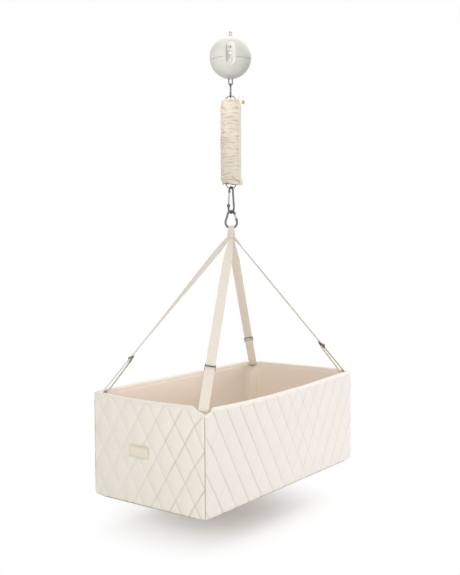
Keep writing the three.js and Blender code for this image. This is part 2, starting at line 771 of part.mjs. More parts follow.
function hooks() {
  const link = hookOutline(linkLength, linkTopWidth, linkBottomWidth, linkWire);
  const upper = hookOutline(upperHookLength, upperHookTopWidth, upperHookBottomWidth, upperHookWire);
  const lower = hookOutline(lowerHookLength, lowerHookTopWidth, lowerHookBottomWidth, lowerHookWire);
  const upperTurn = Math.PI / 2 + THREE.MathUtils.degToRad(upperHookTurn);
  snapHook(['small_hook', 'small_hook_gate'], link, linkTopZ, Math.PI / 2);
  snapHook(['upper_hook', 'upper_hook_gate'], upper, upperHookTopZ, upperTurn);
  snapHook(['lower_hook', 'lower_hook_gate'], lower, lowerHookTopZ, 0);
}

// A spring ring in the XZ plane, and the plug that joins it to the coil; side is 1 above
function ringAndPlug(ringName, plugName, ringZ, side) {
  piece(ringName, ring(ringWidth, ringWire, ringZ), steel, hardware);
  const wireZ = -(ringWidth - ringWire) / 2;
  const discTop = -ringWidth / 2 - plugBelowRing;
  const half = plugNeckThickness / 2;
  const eye = ringWire / 2 + gap + plugEyeSlack;
  const neckTop = wireZ + plugNeckHeight / 2;
  const neck = block(-half, half, -plugNeckDepth / 2, plugNeckDepth / 2, discTop - gap, neckTop);
  const coilInside = ((springWidth - springWire) / 2) * Math.cos(Math.PI / curlSteps) - springWire / 2;
  const disc = barZ(coilInside - gap, discTop - plugDisc, discTop);
  const plug = cut(join(neck, disc), barX(eye, -ringWidth, ringWidth).translate(0, 0, wireZ));
  if (side < 0) plug.rotateX(Math.PI);
  piece(plugName, plug.translate(0, 0, ringZ), brightSteel, hardware);
}

// The least gap between the turns of a wire, measured on points of its centre line
function leastGap(curve, radius, steps) {
  const points = curve.getPoints(steps);
  const near = Math.ceil(steps / curve.turns / 2);
  let least = Infinity;
  for (let i = 0; i < points.length; i += 1) {
    for (let j = i + near; j < points.length; j += 1) {
      least = Math.min(least, points[i].distanceTo(points[j]));
    }
  }
  return least - radius * 2;
}

// Spring: rings, plugs, coil and the slack safety cord inside
function spring() {
  const topRingZ = topRingTopZ - ringWidth / 2;
  const lowRingZ = lowRingBottomZ + ringWidth / 2;
  ringAndPlug('spring_top_ring', 'spring_top_plug', topRingZ, 1);
  ringAndPlug('spring_bottom_ring', 'spring_bottom_plug', lowRingZ, -1);
  const coilTop = topRingBottomZ - plugBelowRing - springWire / 2;
  const coilBottom = lowRingTopZ + plugBelowRing + springWire / 2;
  const coil = new Coil((springWidth - springWire) / 2, springTurns, coilTop, coilBottom, 0);
  const coilSteps = springTurns * curlSteps;
  piece('coil_spring', wireAlong(coil, springWire / 2, coilSteps, curlSides), steel, hardware);
  console.log('least gap of the spring', leastGap(coil, springWire / 2, coilSteps).toFixed(2), 'mm');
  const cordTop = topRingBottomZ - plugBelowRing - plugDisc - gap;
  const cordBottom = lowRingTopZ + plugBelowRing + plugDisc + gap;
  const cord = new Coil(safetyCordCoilRadius, safetyCordTurns, cordTop, cordBottom, 1);
  const cordSteps = safetyCordTurns * curlSteps;
  piece('safety_cord', wireAlong(cord, safetyCordRadius, cordSteps, curlSides), webbing, hardware);
  console.log('least gap of the safety cord', leastGap(cord, safetyCordRadius, cordSteps).toFixed(2), 'mm');
}

// Gathered sleeve: rings of cloth that puff out and draw in, with a straight bore
function sleeve() {
  const rings = [];
  const count = ruffleCount * 2;
  for (let r = 0; r <= count; r += 1) {
    const atEnd = r === 0 || r === count;
    const base = atEnd ? sleeveEndWidth / 2 : sleeveWidth / 2 - (r % 2) * ruffleDepth;
    const points = [];
    for (let i = 0; i < roundSides; i += 1) {
      const angle = (i / roundSides) * 2 * Math.PI;
      const waver = Math.sin(angle * 3 + r) * ruffleWaver;
      const radius = base - ruffleWaver + (atEnd ? 0 : waver);
      const z = THREE.MathUtils.lerp(sleeveTopZ, sleeveBottomZ, r / count);
      points.push(new THREE.Vector3(Math.cos(angle) * radius, Math.sin(angle) * radius, z));
    }
    rings.push(points);
  }
  const bore = barZ(sleeveBore, sleeveBottomZ - overrun, sleeveTopZ + overrun);
  piece('spring_sleeve', cut(loft(rings), bore), sleeveCloth, hardware);
}

// Route of the drawstring's loop beside the sleeve's top: distance out and height over the top
const stringRoute = [
  [26, 0.3], [26, 3], [26.3, 6], [27, 9.5], [28.8, 13], [31.5, 15.8], [34.5, 16.5],
  [37.7, 15.3], [40.2, 12.2], [41.6, 8.2], [42, 4], [42, 0], [42, -4], [42, -8], [42, -13],
];

// Drawstring: out of the sleeve's top in a loop, down through the stopper, to a knot
function drawstring() {
  const points = stringRoute.map(([u, z]) => new THREE.Vector3(u, 0, sleeveTopZ + z));
  const string = wireAlong(new THREE.CatmullRomCurve3(points), stringRadius, stringSteps);
  const knotZ = sleeveTopZ - stopperDrop - stopperHeight - gap - knotRadius;
  const knot = ball(knotRadius, roundSides / 2).translate(stopperOut, 0, knotZ);
  piece('drawstring', join(string, knot), sleeveCloth, hardware);
  const top = sleeveTopZ - stopperDrop;
  const stopper = cut(
    barZ(stopperRadius, top - stopperHeight, top),
    barZ(stopperBore, top - stopperHeight - overrun, top + overrun, wireSides),
  );
  piece('cord_stopper', stopper.translate(stopperOut, 0, 0), tanWood, hardware);
}

// Gathers the webbing where it lies in the hook's curve: narrower, and raised at its edges
function gatherHead(band) {
  const curve = lowerHookBottomWidth / 2 - lowerHookWire - gap;
  const position = band.getAttribute('position');
  for (let i = 0; i < position.count; i += 1) {
    const share = THREE.MathUtils.clamp(1 + position.getZ(i) / headTail, 0, 1);
    const y = position.getY(i) * THREE.MathUtils.lerp(1, headGather, share);
    const lift = curve - Math.sqrt(curve ** 2 - y ** 2);
    position.setY(i, y);
    position.setZ(i, position.getZ(i) + lift * share);
  }
  return band;
}

// Strap head: a webbing loop over the lower hook's bar, its tails around the strap ends
function strapHead() {
  const outer = headBore + headThickness;
  const outline = new THREE.Shape();
  outline.moveTo(outer, -headTail);
  outline.absarc(0, -headSlack, outer, 0, Math.PI, false);
  outline.lineTo(-outer, -headTail);
  outline.lineTo(-headBore, -headTail);
  outline.absarc(0, -headSlack, headBore, Math.PI, 0, true);
  outline.lineTo(headBore, -headTail);
  const band = gatherHead(slab(outline, -headWidth / 2, headWidth / 2, roundSides / 2, headSteps));
  piece('strap_head_loop', band.rotateZ(Math.PI / 2).translate(0, 0, headBarZ), webbing, hardware);
}

// The point of the hardware's own frame (u to the right, v to the back) in the basket's frame
function fromHardware(u, v, z) {
  return new THREE.Vector3(u, v, z).applyAxisAngle(new THREE.Vector3(0, 0, 1), turn);
}

// The straight run of one strap: from its bend below the head to the frame's corner bar
function strapRun(corner) {
  const bar = new THREE.Vector3(
    corner.x * (halfLength - frameInset - frameCut / 2),
    corner.y * (halfWidth - frameInset - frameCut / 2),
    frameZ,
  );
  const barAlong = new THREE.Vector3(-corner.y, corner.x, 0).normalize();
  const bend = fromHardware(corner.u, corner.v, headFootZ - strapBend);
  const rise = frameTube / 2 + gap + strapThickness / 2;
  const down = bar.clone().sub(bend).normalize();
  const across = new THREE.Vector3();
  const out = new THREE.Vector3();
  for (let pass = 0; pass < 3; pass += 1) {
    across.copy(barAlong).addScaledVector(down, -barAlong.dot(down)).normalize();
    out.crossVectors(across, down);
    if (out.x * corner.x < 0) {
      across.negate();
      out.negate();
    }
    down.copy(bar).addScaledVector(out, rise).sub(bend).normalize();
  }
  return { bar, bend, down, across, out, rise };
}

// One strap as rings: sewn end, bend, twist, long run, round the corner bar and back to the slide
function strap(corner) {
  const run = strapRun(corner);
  const endAcross = fromHardware(1, 0, 0);
  if (endAcross.dot(run.across) < 0) endAcross.negate();
  const rings = [];
  const addRing = (centre, along, across, width) => {
    const side = across.clone().addScaledVector(along, -across.dot(along)).normalize();
    const face = new THREE.Vector3().crossVectors(side, along);
    rings.push([[-1, -1], [1, -1], [1, 1], [-1, 1]].map(([a, b]) => (
      centre.clone().addScaledVector(side, (a * width) / 2)
        .addScaledVector(face, (b * strapThickness) / 2)
    )));
  };
  const sewn = fromHardware(corner.u, corner.v, headFootZ);
  const top = sewn.clone().setZ(headFootZ + strapSewn);
  const lower = run.bend.clone().addScaledVector(run.down, strapBend);
  const bend = new THREE.QuadraticBezierCurve3(sewn, run.bend, lower);
  const widthAt = (s) => THREE.MathUtils.lerp(
    strapEndWidth, strapWidth, THREE.MathUtils.smoothstep(s, 0, strapWidening),
  );
  const acrossAt = (s) => endAcross.clone().lerp(
    run.across, THREE.MathUtils.smoothstep(s, 0, corner.twist),
  ).normalize();
  addRing(top, new THREE.Vector3(0, 0, -1), endAcross, strapEndWidth);
  for (let i = 0; i <= bendSteps; i += 1) {
    const t = i / bendSteps;
    const s = t * strapBend * 2;
    addRing(bend.getPoint(t), bend.getTangent(t), acrossAt(s), widthAt(s));
  }
  for (let i = 1; i <= twistSteps; i += 1) {
    const s = (i / twistSteps) * Math.max(corner.twist, strapWidening);
    const centre = lower.clone().addScaledVector(run.down, s);
    addRing(centre, run.down, acrossAt(s + strapBend * 2), widthAt(s + strapBend * 2));
  }
  addLoop(run, addRing);
  return loft(rings);
}

// The strap's lower loop, in the plane of its run: round the bar, up, round the slide's low bar
function addLoop(run, addRing) {
  const { bar, down, out, across, rise } = run;
  const at = (up, away) => bar.clone().addScaledVector(down, -up).addScaledVector(out, away);
  const heading = (up, away) => down.clone().multiplyScalar(-up).addScaledVector(out, away).normalize();
  for (let i = 0; i <= arcSteps; i += 1) {
    const angle = (i / arcSteps) * Math.PI;
    const c = Math.cos(angle);
    const s = Math.sin(angle);
    addRing(at(-loopSlack - rise * s, rise * c), heading(-c, -s), across, strapWidth);
  }
  const low = lowBar(rise);
  const wrap = slideBar / 2 + gap + strapThickness / 2;
  const up = heading(low.up, low.away - wrap + rise);
  addRing(at(low.up - slideBar * 2, low.away - wrap), up, across, strapWidth);
  for (let i = 0; i <= arcSteps; i += 1) {
    const angle = (i / arcSteps) * Math.PI;
    const c = Math.cos(angle);
    const s = Math.sin(angle);
    addRing(at(low.up + wrap * s, low.away - wrap * c), heading(c, s), across, strapWidth);
  }
  addRing(at(low.up - tailLength, low.away + wrap), heading(-1, 0), across, strapWidth);
}

// The slide's low bar: its height up the strap and its place behind the long run
function lowBar(rise) {
  return {
    up: slideUp - slidePitch,
    away: rise - strapThickness * 1.5 - gap * 2 - slideBar / 2,
  };
}

// A metal slide: three bars joined by side plates; the middle bar lies over the strap
function slide(run) {
  const { bar, down, across, out, rise } = run;
  const low = lowBar(rise);
  const half = slideBar / 2;
  const over = rise + strapThickness / 2 + gap + half;
  const under = rise - strapThickness / 2 - gap - half;
  const bars = [[low.up, low.away], [slideUp, over], [slideUp + slidePitch, under]];
  const inside = strapWidth / 2 + slideRoom;
  const outline = new THREE.Shape([
    new THREE.Vector2(bars[0][0] - half, bars[0][1] - half),
    new THREE.Vector2(bars[0][0] - half, bars[0][1] + half),
    new THREE.Vector2(bars[1][0] - half, bars[1][1] + half),
    new THREE.Vector2(bars[1][0] + half, bars[1][1] + half),
    new THREE.Vector2(bars[2][0] + half, bars[2][1] + half),
    new THREE.Vector2(bars[2][0] + half, bars[2][1] - half),
  ]);
  const sides = [-inside - slideSide, inside].map((w) => (
    new THREE.ExtrudeGeometry(outline, { depth: slideSide, bevelEnabled: false }).translate(0, 0, w)
  ));
  const rods = bars.map(([up, away]) => (
    barZ(half, -inside - slideSide / 2, inside + slideSide / 2, wireSides).translate(up, away, 0)
  ));
  const frame = new THREE.Matrix4().makeBasis(down.clone().negate(), out, across).setPosition(bar);
  return join(...sides, ...rods).applyMatrix4(frame);
}

// The four corners, with each strap's place in the sewn stack
const corners = [
  { name: 'front_left', x: -1, y: -1, u: 0, v: -strapEndLayer, twist: frontTwist },
  { name: 'back_left', x: -1, y: 1, u: -strapEndSpread, v: 0, twist: sideTwist },
  { name: 'front_right', x: 1, y: -1, u: strapEndSpread, v: 0, twist: sideTwist },
  { name: 'back_right', x: 1, y: 1, u: 0, v: strapEndLayer, twist: frontTwist },
];

function straps() {
  corners.forEach((corner) => {
    piece(`strap_${corner.name}`, strap(corner), webbing);
    piece(`slide_${corner.name}`, slide(strapRun(corner)), steel);
  });
}

// A round bar between two points
function barBetween(from, to, radius) {
  const along = to.clone().sub(from);
  const bar = barZ(radius, 0, along.length(), wireSides);
  const turnTo = new THREE.Quaternion().setFromUnitVectors(new THREE.Vector3(0, 0, 1), along.normalize());
  return bar.applyQuaternion(turnTo).translate(from.x, from.y, from.z);
}

// The rim's tube: straight bars round the basket with a short one across each corner
function rimTube(radius) {
  const x = halfLength - frameInset;
  const y = halfWidth - frameInset;
  const bends = [
    [-x + frameCut, -y], [x - frameCut, -y], [x, -y + frameCut], [x, y - frameCut],
    [x - frameCut, y], [-x + frameCut, y], [-x, y - frameCut], [-x, -y + frameCut],
  ].map(([bendX, bendY]) => new THREE.Vector3(bendX, bendY, frameZ));
  const parts = bends.flatMap((bend, i) => [
    barBetween(bend, bends[(i + 1) % bends.length], radius),
    ball(radius, wireSides).translate(bend.x, bend.y, bend.z),
  ]);
  return join(...parts);
}

// A quilted panel that faces -Y: a flat back at y = 0, and diamonds that puff out to a peak
// between the seams that cross it on the slant
function quiltedPanel(width, zLow, zHigh, columns, rows) {
  const positions = [];
  const index = new Map();
  const point = (i, j, depth) => {
    const key = `${i},${j},${depth === 0}`;
    if (!index.has(key)) {
      index.set(key, positions.length / 3);
      const x = (i / columns - 1 / 2) * width;
      positions.push(x, depth, THREE.MathUtils.lerp(zLow, zHigh, j / rows));
    }
    return index.get(key);
  };
  const front = (i, j) => {
    const atEdge = i === 0 || j === 0 || i === columns || j === rows;
    const peak = (i + j) % 2 === 1 && !atEdge;
    return point(i, j, -panelBase - (peak ? panelCrown : 0));
  };
  const faces = [];
  for (let i = 0; i < columns; i += 1) {
    for (let j = 0; j < rows; j += 1) {
      const low = [front(i, j), front(i + 1, j)];
      const high = [front(i, j + 1), front(i + 1, j + 1)];
      if ((i + j) % 2 === 0) faces.push(low[0], low[1], high[0], low[1], high[1], high[0]);
      else faces.push(low[0], low[1], high[1], low[0], high[1], high[0]);
    }
  }
  const edge = [];
  for (let i = 0; i < columns; i += 1) edge.push([i, 0]);
  for (let j = 0; j < rows; j += 1) edge.push([columns, j]);
  for (let i = columns; i > 0; i -= 1) edge.push([i, rows]);
  for (let j = rows; j > 0; j -= 1) edge.push([0, j]);
  const middle = point(columns / 2, rows / 2, 0);
  edge.forEach(([i, j], k) => {
    const [nextI, nextJ] = edge[(k + 1) % edge.length];
    const back = point(i, j, 0);
    const nextBack = point(nextI, nextJ, 0);
    faces.push(front(i, j), back, front(nextI, nextJ), front(nextI, nextJ), back, nextBack);
    faces.push(middle, nextBack, back);
  });
  const geometry = new THREE.BufferGeometry();
  geometry.setAttribute('position', new THREE.Float32BufferAttribute(positions, 3));
  geometry.setIndex(faces);
  return geometry;
}

// The four corner spaces where the rim dips around the straps, with room on their inner sides
function notches(room) {
  const reach = notchWidth + room + overrun;
  const foot = rimZ - notchDepth - room;
  return corners.map((corner) => (
    block(-reach / 2, reach / 2, -reach / 2, reach / 2, foot, rimZ + overrun).translate(
      corner.x * (halfLength + overrun - reach / 2), corner.y * (halfWidth + overrun - reach / 2), 0,
    )
  ));
}

// Outer panels, with a round strip up each corner seam
function outerPanels() {
  const seam = cornerStripRadius * 2 + gap;
  const long = quiltedPanel(basketLength - seam * 2, wallFootZ, wallTopZ, diamondsAlong * 2, diamondsUp * 2);
  const short = quiltedPanel(basketWidth - seam * 2, wallFootZ, wallTopZ, diamondsAcross * 2, diamondsUp * 2);
  const panels = [
    ['front_panel', long, 0, halfWidth], ['right_panel', short, 1, halfLength],
    ['back_panel', long, 2, halfWidth], ['left_panel', short, 3, halfLength],
  ];
  panels.forEach(([name, geometry, quarter, reach]) => {
    const placed = geometry.clone().translate(0, -(reach - panelBase), 0).rotateZ((quarter * Math.PI) / 2);
    piece(name, cut(placed, ...notches(bindingThickness + gap)), quilt);
  });
  corners.forEach((corner) => {
    const strip = barZ(cornerStripRadius, wallFootZ, rimZ - notchDepth - bindingThickness - gap);
    piece(`corner_strip_${corner.name}`, strip.translate(
      corner.x * (halfLength - cornerStripRadius), corner.y * (halfWidth - cornerStripRadius), 0,
    ), quilt);
  });
}

// An upright band round the basket, set in behind its outer faces
function wallBand(inset, thickness, zLow, zHigh) {
  const x = halfLength - inset;
  const y = halfWidth - inset;
  const innerX = x - thickness;
  const innerY = y - thickness;
  const inside = block(-innerX, innerX, -innerY, innerY, zLow - overrun, zHigh + overrun);
  return cut(block(-x, x, -y, y, zLow, zHigh), inside);
}

// Rim frame, foam filling, lining, and the binding that caps them and follows the corner dips
function wallFilling() {
  piece('rim_frame', rimTube(frameTube / 2), steel);
  const room = bindingThickness + gap;
  const foamInset = panelBase + gap;
  const foamTop = frameZ - frameTube / 2 - gap;
  const foamBand = wallBand(foamInset, coreThickness, boardFootZ, foamTop);
  piece('wall_foam', cut(foamBand, ...notches(room)), foam);
  const liningBand = wallBand(foamInset + coreThickness + gap, liningThickness, boardFootZ, wallTopZ);
  piece('lining', cut(liningBand, ...notches(room), rimTube(frameTube / 2 + gap)), liningCloth);
  const bindingFoot = rimZ - notchDepth - bindingThickness;
  const outer = cut(wallBand(0, wallThickness, bindingFoot, rimZ), ...notches(0));
  const within = wallBand(
    -overrun, wallThickness + overrun * 2, bindingFoot - overrun, rimZ - bindingThickness,
  );
  const filled = cut(within, ...notches(bindingThickness));
  piece('rim_binding', cut(outer, filled, rimTube(frameTube / 2 + gap)), quilt);
}

// Base panel and floor board
function base() {
  const inX = halfLength - panelBase - gap;
  const inY = halfWidth - panelBase - gap;
  piece('base_panel', block(-halfLength, halfLength, -halfWidth, halfWidth, undersideZ, wallFootZ - gap), quilt);
  piece('floor_board', block(-inX, inX, -inY, inY, wallFootZ, boardFootZ - gap), birch);
}

// A ring of a rounded rectangle at a height, drawn in by an inset
function roundedRing(halfX, halfY, corner, inset, z) {
  const points = [];
  [[1, 1], [-1, 1], [-1, -1], [1, -1]].forEach(([x, y], quarter) => {
    for (let i = 0; i <= cornerSteps; i += 1) {
      const angle = ((quarter + i / cornerSteps) * Math.PI) / 2;
      points.push(new THREE.Vector3(
        x * (halfX - corner) + (corner - inset) * Math.cos(angle),
        y * (halfY - corner) + (corner - inset) * Math.sin(angle),
        z,
      ));
    }
  });
  return points;
}

// Mattress: a crowned pad whose sides draw in at its seams
function mattress() {
  const halfX = halfLength - wallThickness - mattressRoom;
  const halfY = halfWidth - wallThickness - mattressRoom;
  const top = boardFootZ + mattressHeight;
  const profile = [
    [mattressTuck, boardFootZ], [0, boardFootZ + mattressTuck], [0, top - mattressTuck],
    [mattressTuck, top], [mattressShoulder, top + mattressCrown],
  ];
  const rings = profile.map(([inset, z]) => roundedRing(
    halfX - Math.max(inset - mattressCorner / 2, 0), halfY - Math.max(inset - mattressCorner / 2, 0),
    mattressCorner, Math.min(inset, mattressCorner / 2), z,
  ));
  piece('mattress', loft(rings), quilt);
}

// Blank label patch on the left panel
function labelPatch() {
  const outline = new THREE.Shape();
  const x = labelWidth / 2 - labelCorner;
  const y = labelHeight / 2 - labelCorner;
  outline.absarc(x, y, labelCorner, 0, Math.PI / 2, false);
  outline.absarc(-x, y, labelCorner, Math.PI / 2, Math.PI, false);
  outline.absarc(-x, -y, labelCorner, Math.PI, (Math.PI * 3) / 2, false);
  outline.absarc(x, -y, labelCorner, (Math.PI * 3) / 2, Math.PI * 2, false);
  const face = halfLength + panelCrown + gap;
  const patch = slab(outline, -face - labelThickness, -face, 2);
  piece('label_patch', patch.rotateZ(-Math.PI / 2).translate(0, labelAlong, undersideZ + labelRise), labelCloth);
}

hangingEye();
housings();
controlPanel();
button('upper_button', ballZ + upperButtonRise);
button('lower_button', ballZ - lowerButtonDrop);
lampWindow();
circuitBoard();
powerInlet();
chassis();
drive();
liftingBail();
hooks();
spring();
sleeve();
drawstring();
strapHead();
straps();
outerPanels();
wallFilling();
base();
mattress();
labelPatch();

export default cradle;
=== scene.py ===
# %% [markdown]
# A hanging baby cradle: a quilted cotton basket on four webbing straps, three snap hooks, a
# spring in a gathered sleeve and a ball-shaped motor unit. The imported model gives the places
# and sizes, and this lesson dresses it: first the camera, a few helpers and the finishes,
# then the one free cord, each piece from the ceiling down to the basket, and last the room.

import math

import bmesh
import bpy
from mathutils import Matrix, Vector, noise


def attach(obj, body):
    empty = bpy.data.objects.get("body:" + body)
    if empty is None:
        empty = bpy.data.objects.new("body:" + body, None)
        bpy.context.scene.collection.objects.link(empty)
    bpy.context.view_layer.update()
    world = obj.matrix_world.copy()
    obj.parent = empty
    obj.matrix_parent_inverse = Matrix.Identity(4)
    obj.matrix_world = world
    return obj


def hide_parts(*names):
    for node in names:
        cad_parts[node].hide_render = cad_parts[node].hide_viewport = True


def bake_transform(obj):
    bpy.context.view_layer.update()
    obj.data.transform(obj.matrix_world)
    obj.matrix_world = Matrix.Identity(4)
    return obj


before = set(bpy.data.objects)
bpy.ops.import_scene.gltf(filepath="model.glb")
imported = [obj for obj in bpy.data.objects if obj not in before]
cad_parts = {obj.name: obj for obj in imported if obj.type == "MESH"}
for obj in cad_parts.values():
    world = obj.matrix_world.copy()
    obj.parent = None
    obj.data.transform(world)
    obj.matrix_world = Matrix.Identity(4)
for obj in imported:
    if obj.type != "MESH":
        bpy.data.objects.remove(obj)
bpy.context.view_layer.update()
scene = bpy.context.scene

# %% [markdown]
# The camera looks down a little from the front left, half a metre above the rim. Its turn,
# distance and lens come from a perspective fit of the basket's corners, so they are given
# as numbers: the lens first in pixels of a picture 460 wide, and then in millimetres.

# %% Place the camera
view_turn, tilt, roll = math.radians(-53.38), 0.0524, 0.005
focal_pixels, picture_width, sensor_width = 826.55, 460, 36
ahead = Vector((-math.sin(view_turn), math.cos(view_turn), 0))
right = Vector((math.cos(view_turn), math.sin(view_turn), 0))
camera = bpy.data.objects.new("camera", bpy.data.cameras.new("camera"))
scene.collection.objects.link(camera)
camera.location = ahead * -2.8192 + right * -0.0046 + Vector((0, 0, -0.7116))
camera.rotation_euler = (math.pi / 2 - tilt, roll, view_turn)
camera.data.sensor_fit = "HORIZONTAL"
camera.data.sensor_width = sensor_width
camera.data.lens = focal_pixels / picture_width * sensor_width
scene.camera = camera
scene.view_settings.view_transform = "Standard"
print("camera", [round(c, 3) for c in camera.location])

# %% [markdown]
# The hooks, the spring and the ball hang as one column that is turned about the ceiling
# eye. Its pieces are made facing the front, along X and Z, and turned into place by one
# matrix, which is written into each mesh so that every object stays at the origin.

# %% Sizes and the column's turn
mm = 0.001
column = Matrix.Rotation(math.radians(-53), 4, "Z")
ball_z, ball_radius, seam_z, panel_z = -84.8 * mm, 70 * mm, -94.5 * mm, -82.6 * mm
sleeve_top, sleeve_bottom = -226.7 * mm, -507.7 * mm
head_bar, head_foot, rim_height, underside = -657.6, -677.6, -1174.5, -1508.0  # heights in mm
basket_x, basket_y = 435, 225  # half the basket's length and width, in mm


def level(x, z, y=0.0):
    """A point of the column, given in millimetres before its turn."""
    return Vector((x, y, z)) * mm


def hung(u=0.0, v=0.0, z=0.0):
    """The matrix that puts a piece into the turned column, with its place in millimetres."""
    return column @ Matrix.Translation((u * mm, v * mm, z * mm))


def smooth(low, high, x):
    """0 below low, 1 above high, and a soft step between."""
    t = min(max((x - low) / (high - low), 0.0), 1.0)
    return t * t * (3 - 2 * t)


def bell(x, middle, width):
    """1 at the middle, fading to both sides like a bell."""
    return math.exp(-(((x - middle) / width) ** 2))


print("turn of the column", round(math.degrees(column.to_euler().z)))

# %% [markdown]
# Most pieces start from one of four ways of working: a sheet pulled from a grid, a wire
# that is extruded along runs and spun round bends, a profile spun into a round piece, and
# a bevelled block. Each gets a small helper here, and the pieces below only name sizes.

# %% Turn a bmesh into a finished piece
def finish(shape, name, material, body, nodes=(), place=None, out=True):
    """Makes an object of a bmesh, with its place in the mesh, and ties it to its body."""
    if place is not None:
        shape.transform(place)
    if out:
        bmesh.ops.recalc_face_normals(shape, faces=shape.faces)
    mesh = bpy.data.meshes.new(name)
    shape.to_mesh(mesh)
    shape.free()
    piece = bpy.data.objects.new(name, mesh)
    scene.collection.objects.link(piece)
    mesh.materials.append(material)
    mesh.shade_smooth()
    if body:
        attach(piece, body)
    if nodes:
        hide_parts(*nodes)
    return piece


def add_modifier(piece, kind, **values):
    """Adds a modifier and sets its values."""
    made = piece.modifiers.new(kind.title(), kind)
    for key, value in values.items():
        setattr(made, key, value)
    return made


def settle(piece):
    """Writes a piece's modifiers into its mesh."""
    ready = piece.evaluated_get(bpy.context.evaluated_depsgraph_get())
    mesh = bpy.data.meshes.new_from_object(ready)
    piece.modifiers.clear()
    piece.data = mesh
    return piece


def thicken(piece, thickness, offset=-1, edge=0.0):
    """Gives a sheet its thickness and rounded edges, in millimetres, and settles it."""
    add_modifier(piece, "SOLIDIFY", thickness=thickness * mm, offset=offset)
    if edge:
        add_modifier(piece, "BEVEL", width=edge * mm, segments=2, limit_method="ANGLE", angle_limit=1.0)
    return settle(piece)


print("a piece is finished, given modifiers, settled and thickened")


# %% Pull a sheet from a grid
def sheet_of(columns, rows, place, depth=None, size=(1, 1), closed=False, start=(0, 0)):
    """A grid whose points go where place(a, b) says, with a and b from 0 to 1."""
    shape = bmesh.new()
    bmesh.ops.create_grid(shape, x_segments=columns, y_segments=rows, size=0.5)
    layer = shape.loops.layers.uv.new("cloth")
    mark = shape.verts.layers.float.new("depth")
    for face in shape.faces:
        for loop in face.loops:
            co = loop.vert.co
            loop[layer].uv = (start[0] + (co.x + 0.5) * size[0], start[1] + (co.y + 0.5) * size[1])
    for vert in shape.verts:
        a, b = vert.co.x + 0.5, vert.co.y + 0.5
        vert[mark] = depth(a, b) if depth else 1.0
        vert.co = place(a, b)
    if closed:
        bmesh.ops.remove_doubles(shape, verts=shape.verts, dist=1e-5)
    return shape


print("sheets ready")


# %% Extrude a wire along runs and spin it round bends
def grow(shape, edges, place_vert):
    """Extrudes a loop of edges, moves the new points, and gives the new loop."""
    made = bmesh.ops.extrude_edge_only(shape, edges=edges)["geom"]
    fresh = {g for g in made if isinstance(g, bmesh.types.BMVert)}
    for vert in fresh:
        vert.co = place_vert(vert.co)
    return [g for g in made if isinstance(g, bmesh.types.BMEdge) and set(g.verts) <= fresh]


class Wire:
    """A round wire that grows from its first ring."""

    def __init__(self, radius, start, heading, sides=20):
        self.shape = bmesh.new()
        self.heading = Vector(heading).normalized()
        face_on = self.heading.to_track_quat("Z", "Y").to_matrix().to_4x4()
        bmesh.ops.create_circle(
            self.shape, segments=sides, radius=radius, cap_ends=False,
            matrix=Matrix.Translation(start) @ face_on,
        )
        self.ring = list(self.shape.edges)

    def points(self):
        return list({v for e in self.ring for v in e.verts})

    def run(self, length):
        step = self.heading * length
        self.ring = grow(self.shape, self.ring, lambda co: co + step)
        return self

    def bend(self, centre, axis, angle, steps=20, climb=0.0):
        axis = Vector(axis).normalized()
        made = bmesh.ops.spin(
            self.shape, geom=self.points() + self.ring, cent=centre, axis=axis, angle=angle,
            steps=steps, dvec=axis * climb / steps, use_merge=False,
        )["geom_last"]
        self.ring = [g for g in made if isinstance(g, bmesh.types.BMEdge)]
        self.heading = Matrix.Rotation(angle, 3, axis) @ self.heading
        return self

    def closed(self):
        bmesh.ops.remove_doubles(self.shape, verts=self.shape.verts, dist=1e-6)
        bmesh.ops.holes_fill(self.shape, edges=self.shape.edges, sides=0)
        return self.shape


def full_spin(shape, centre, axis, steps):
    """Spins all of a shape once round, and merges its ends."""
    bmesh.ops.spin(
        shape, geom=shape.verts[:] + shape.edges[:], cent=centre, axis=axis,
        angle=math.tau, steps=steps, use_merge=True,
    )
    bmesh.ops.remove_doubles(shape, verts=shape.verts, dist=1e-6)
    return shape


def wire_ring(width, wire, centre, axis, turn_from, steps=64, sides=16):
    """A closed ring of wire about an axis."""
    shape = bmesh.new()
    out = Vector(turn_from).normalized()
    face_on = Vector(axis).cross(out).to_track_quat("Z", "Y").to_matrix().to_4x4()
    bmesh.ops.create_circle(
        shape, segments=sides, radius=wire / 2, cap_ends=False,
        matrix=Matrix.Translation(Vector(centre) + out * (width - wire) / 2) @ face_on,
    )
    return full_spin(shape, centre, axis, steps)


print("wires and rings ready")


# %% Spin a profile, bevel a block and join two shapes
def turned(profile, steps=48):
    """A round piece about Z from points of radius and height in millimetres."""
    shape = bmesh.new()
    verts = [shape.verts.new((r * mm, 0, z * mm)) for r, z in profile]
    for pair in zip(verts, verts[1:]):
        shape.edges.new(pair)
    return full_spin(shape, (0, 0, 0), (0, 0, 1), steps)


def bevel(shape, edges, width, segments=3):
    """Rounds edges by a width in millimetres, and gives the points that this makes."""
    return bmesh.ops.bevel(
        shape, geom=edges, offset=width * mm, segments=segments, profile=0.5,
        affect="EDGES", material=-1,
    )["verts"]


def add_block(shape, low, high, edge=0.0, place=None):
    """Adds a block between two corners, in millimetres, with rounded edges."""
    low, high = Vector(low) * mm, Vector(high) * mm
    made = bmesh.ops.create_cube(
        shape, size=1,
        matrix=Matrix.Translation((low + high) / 2) @ Matrix.Diagonal((*(high - low), 1)),
    )["verts"]
    if edge:
        made = bevel(shape, list({e for v in made for e in v.link_edges}), edge)
    if place is not None:
        bmesh.ops.transform(shape, matrix=place, verts=made)
    return shape


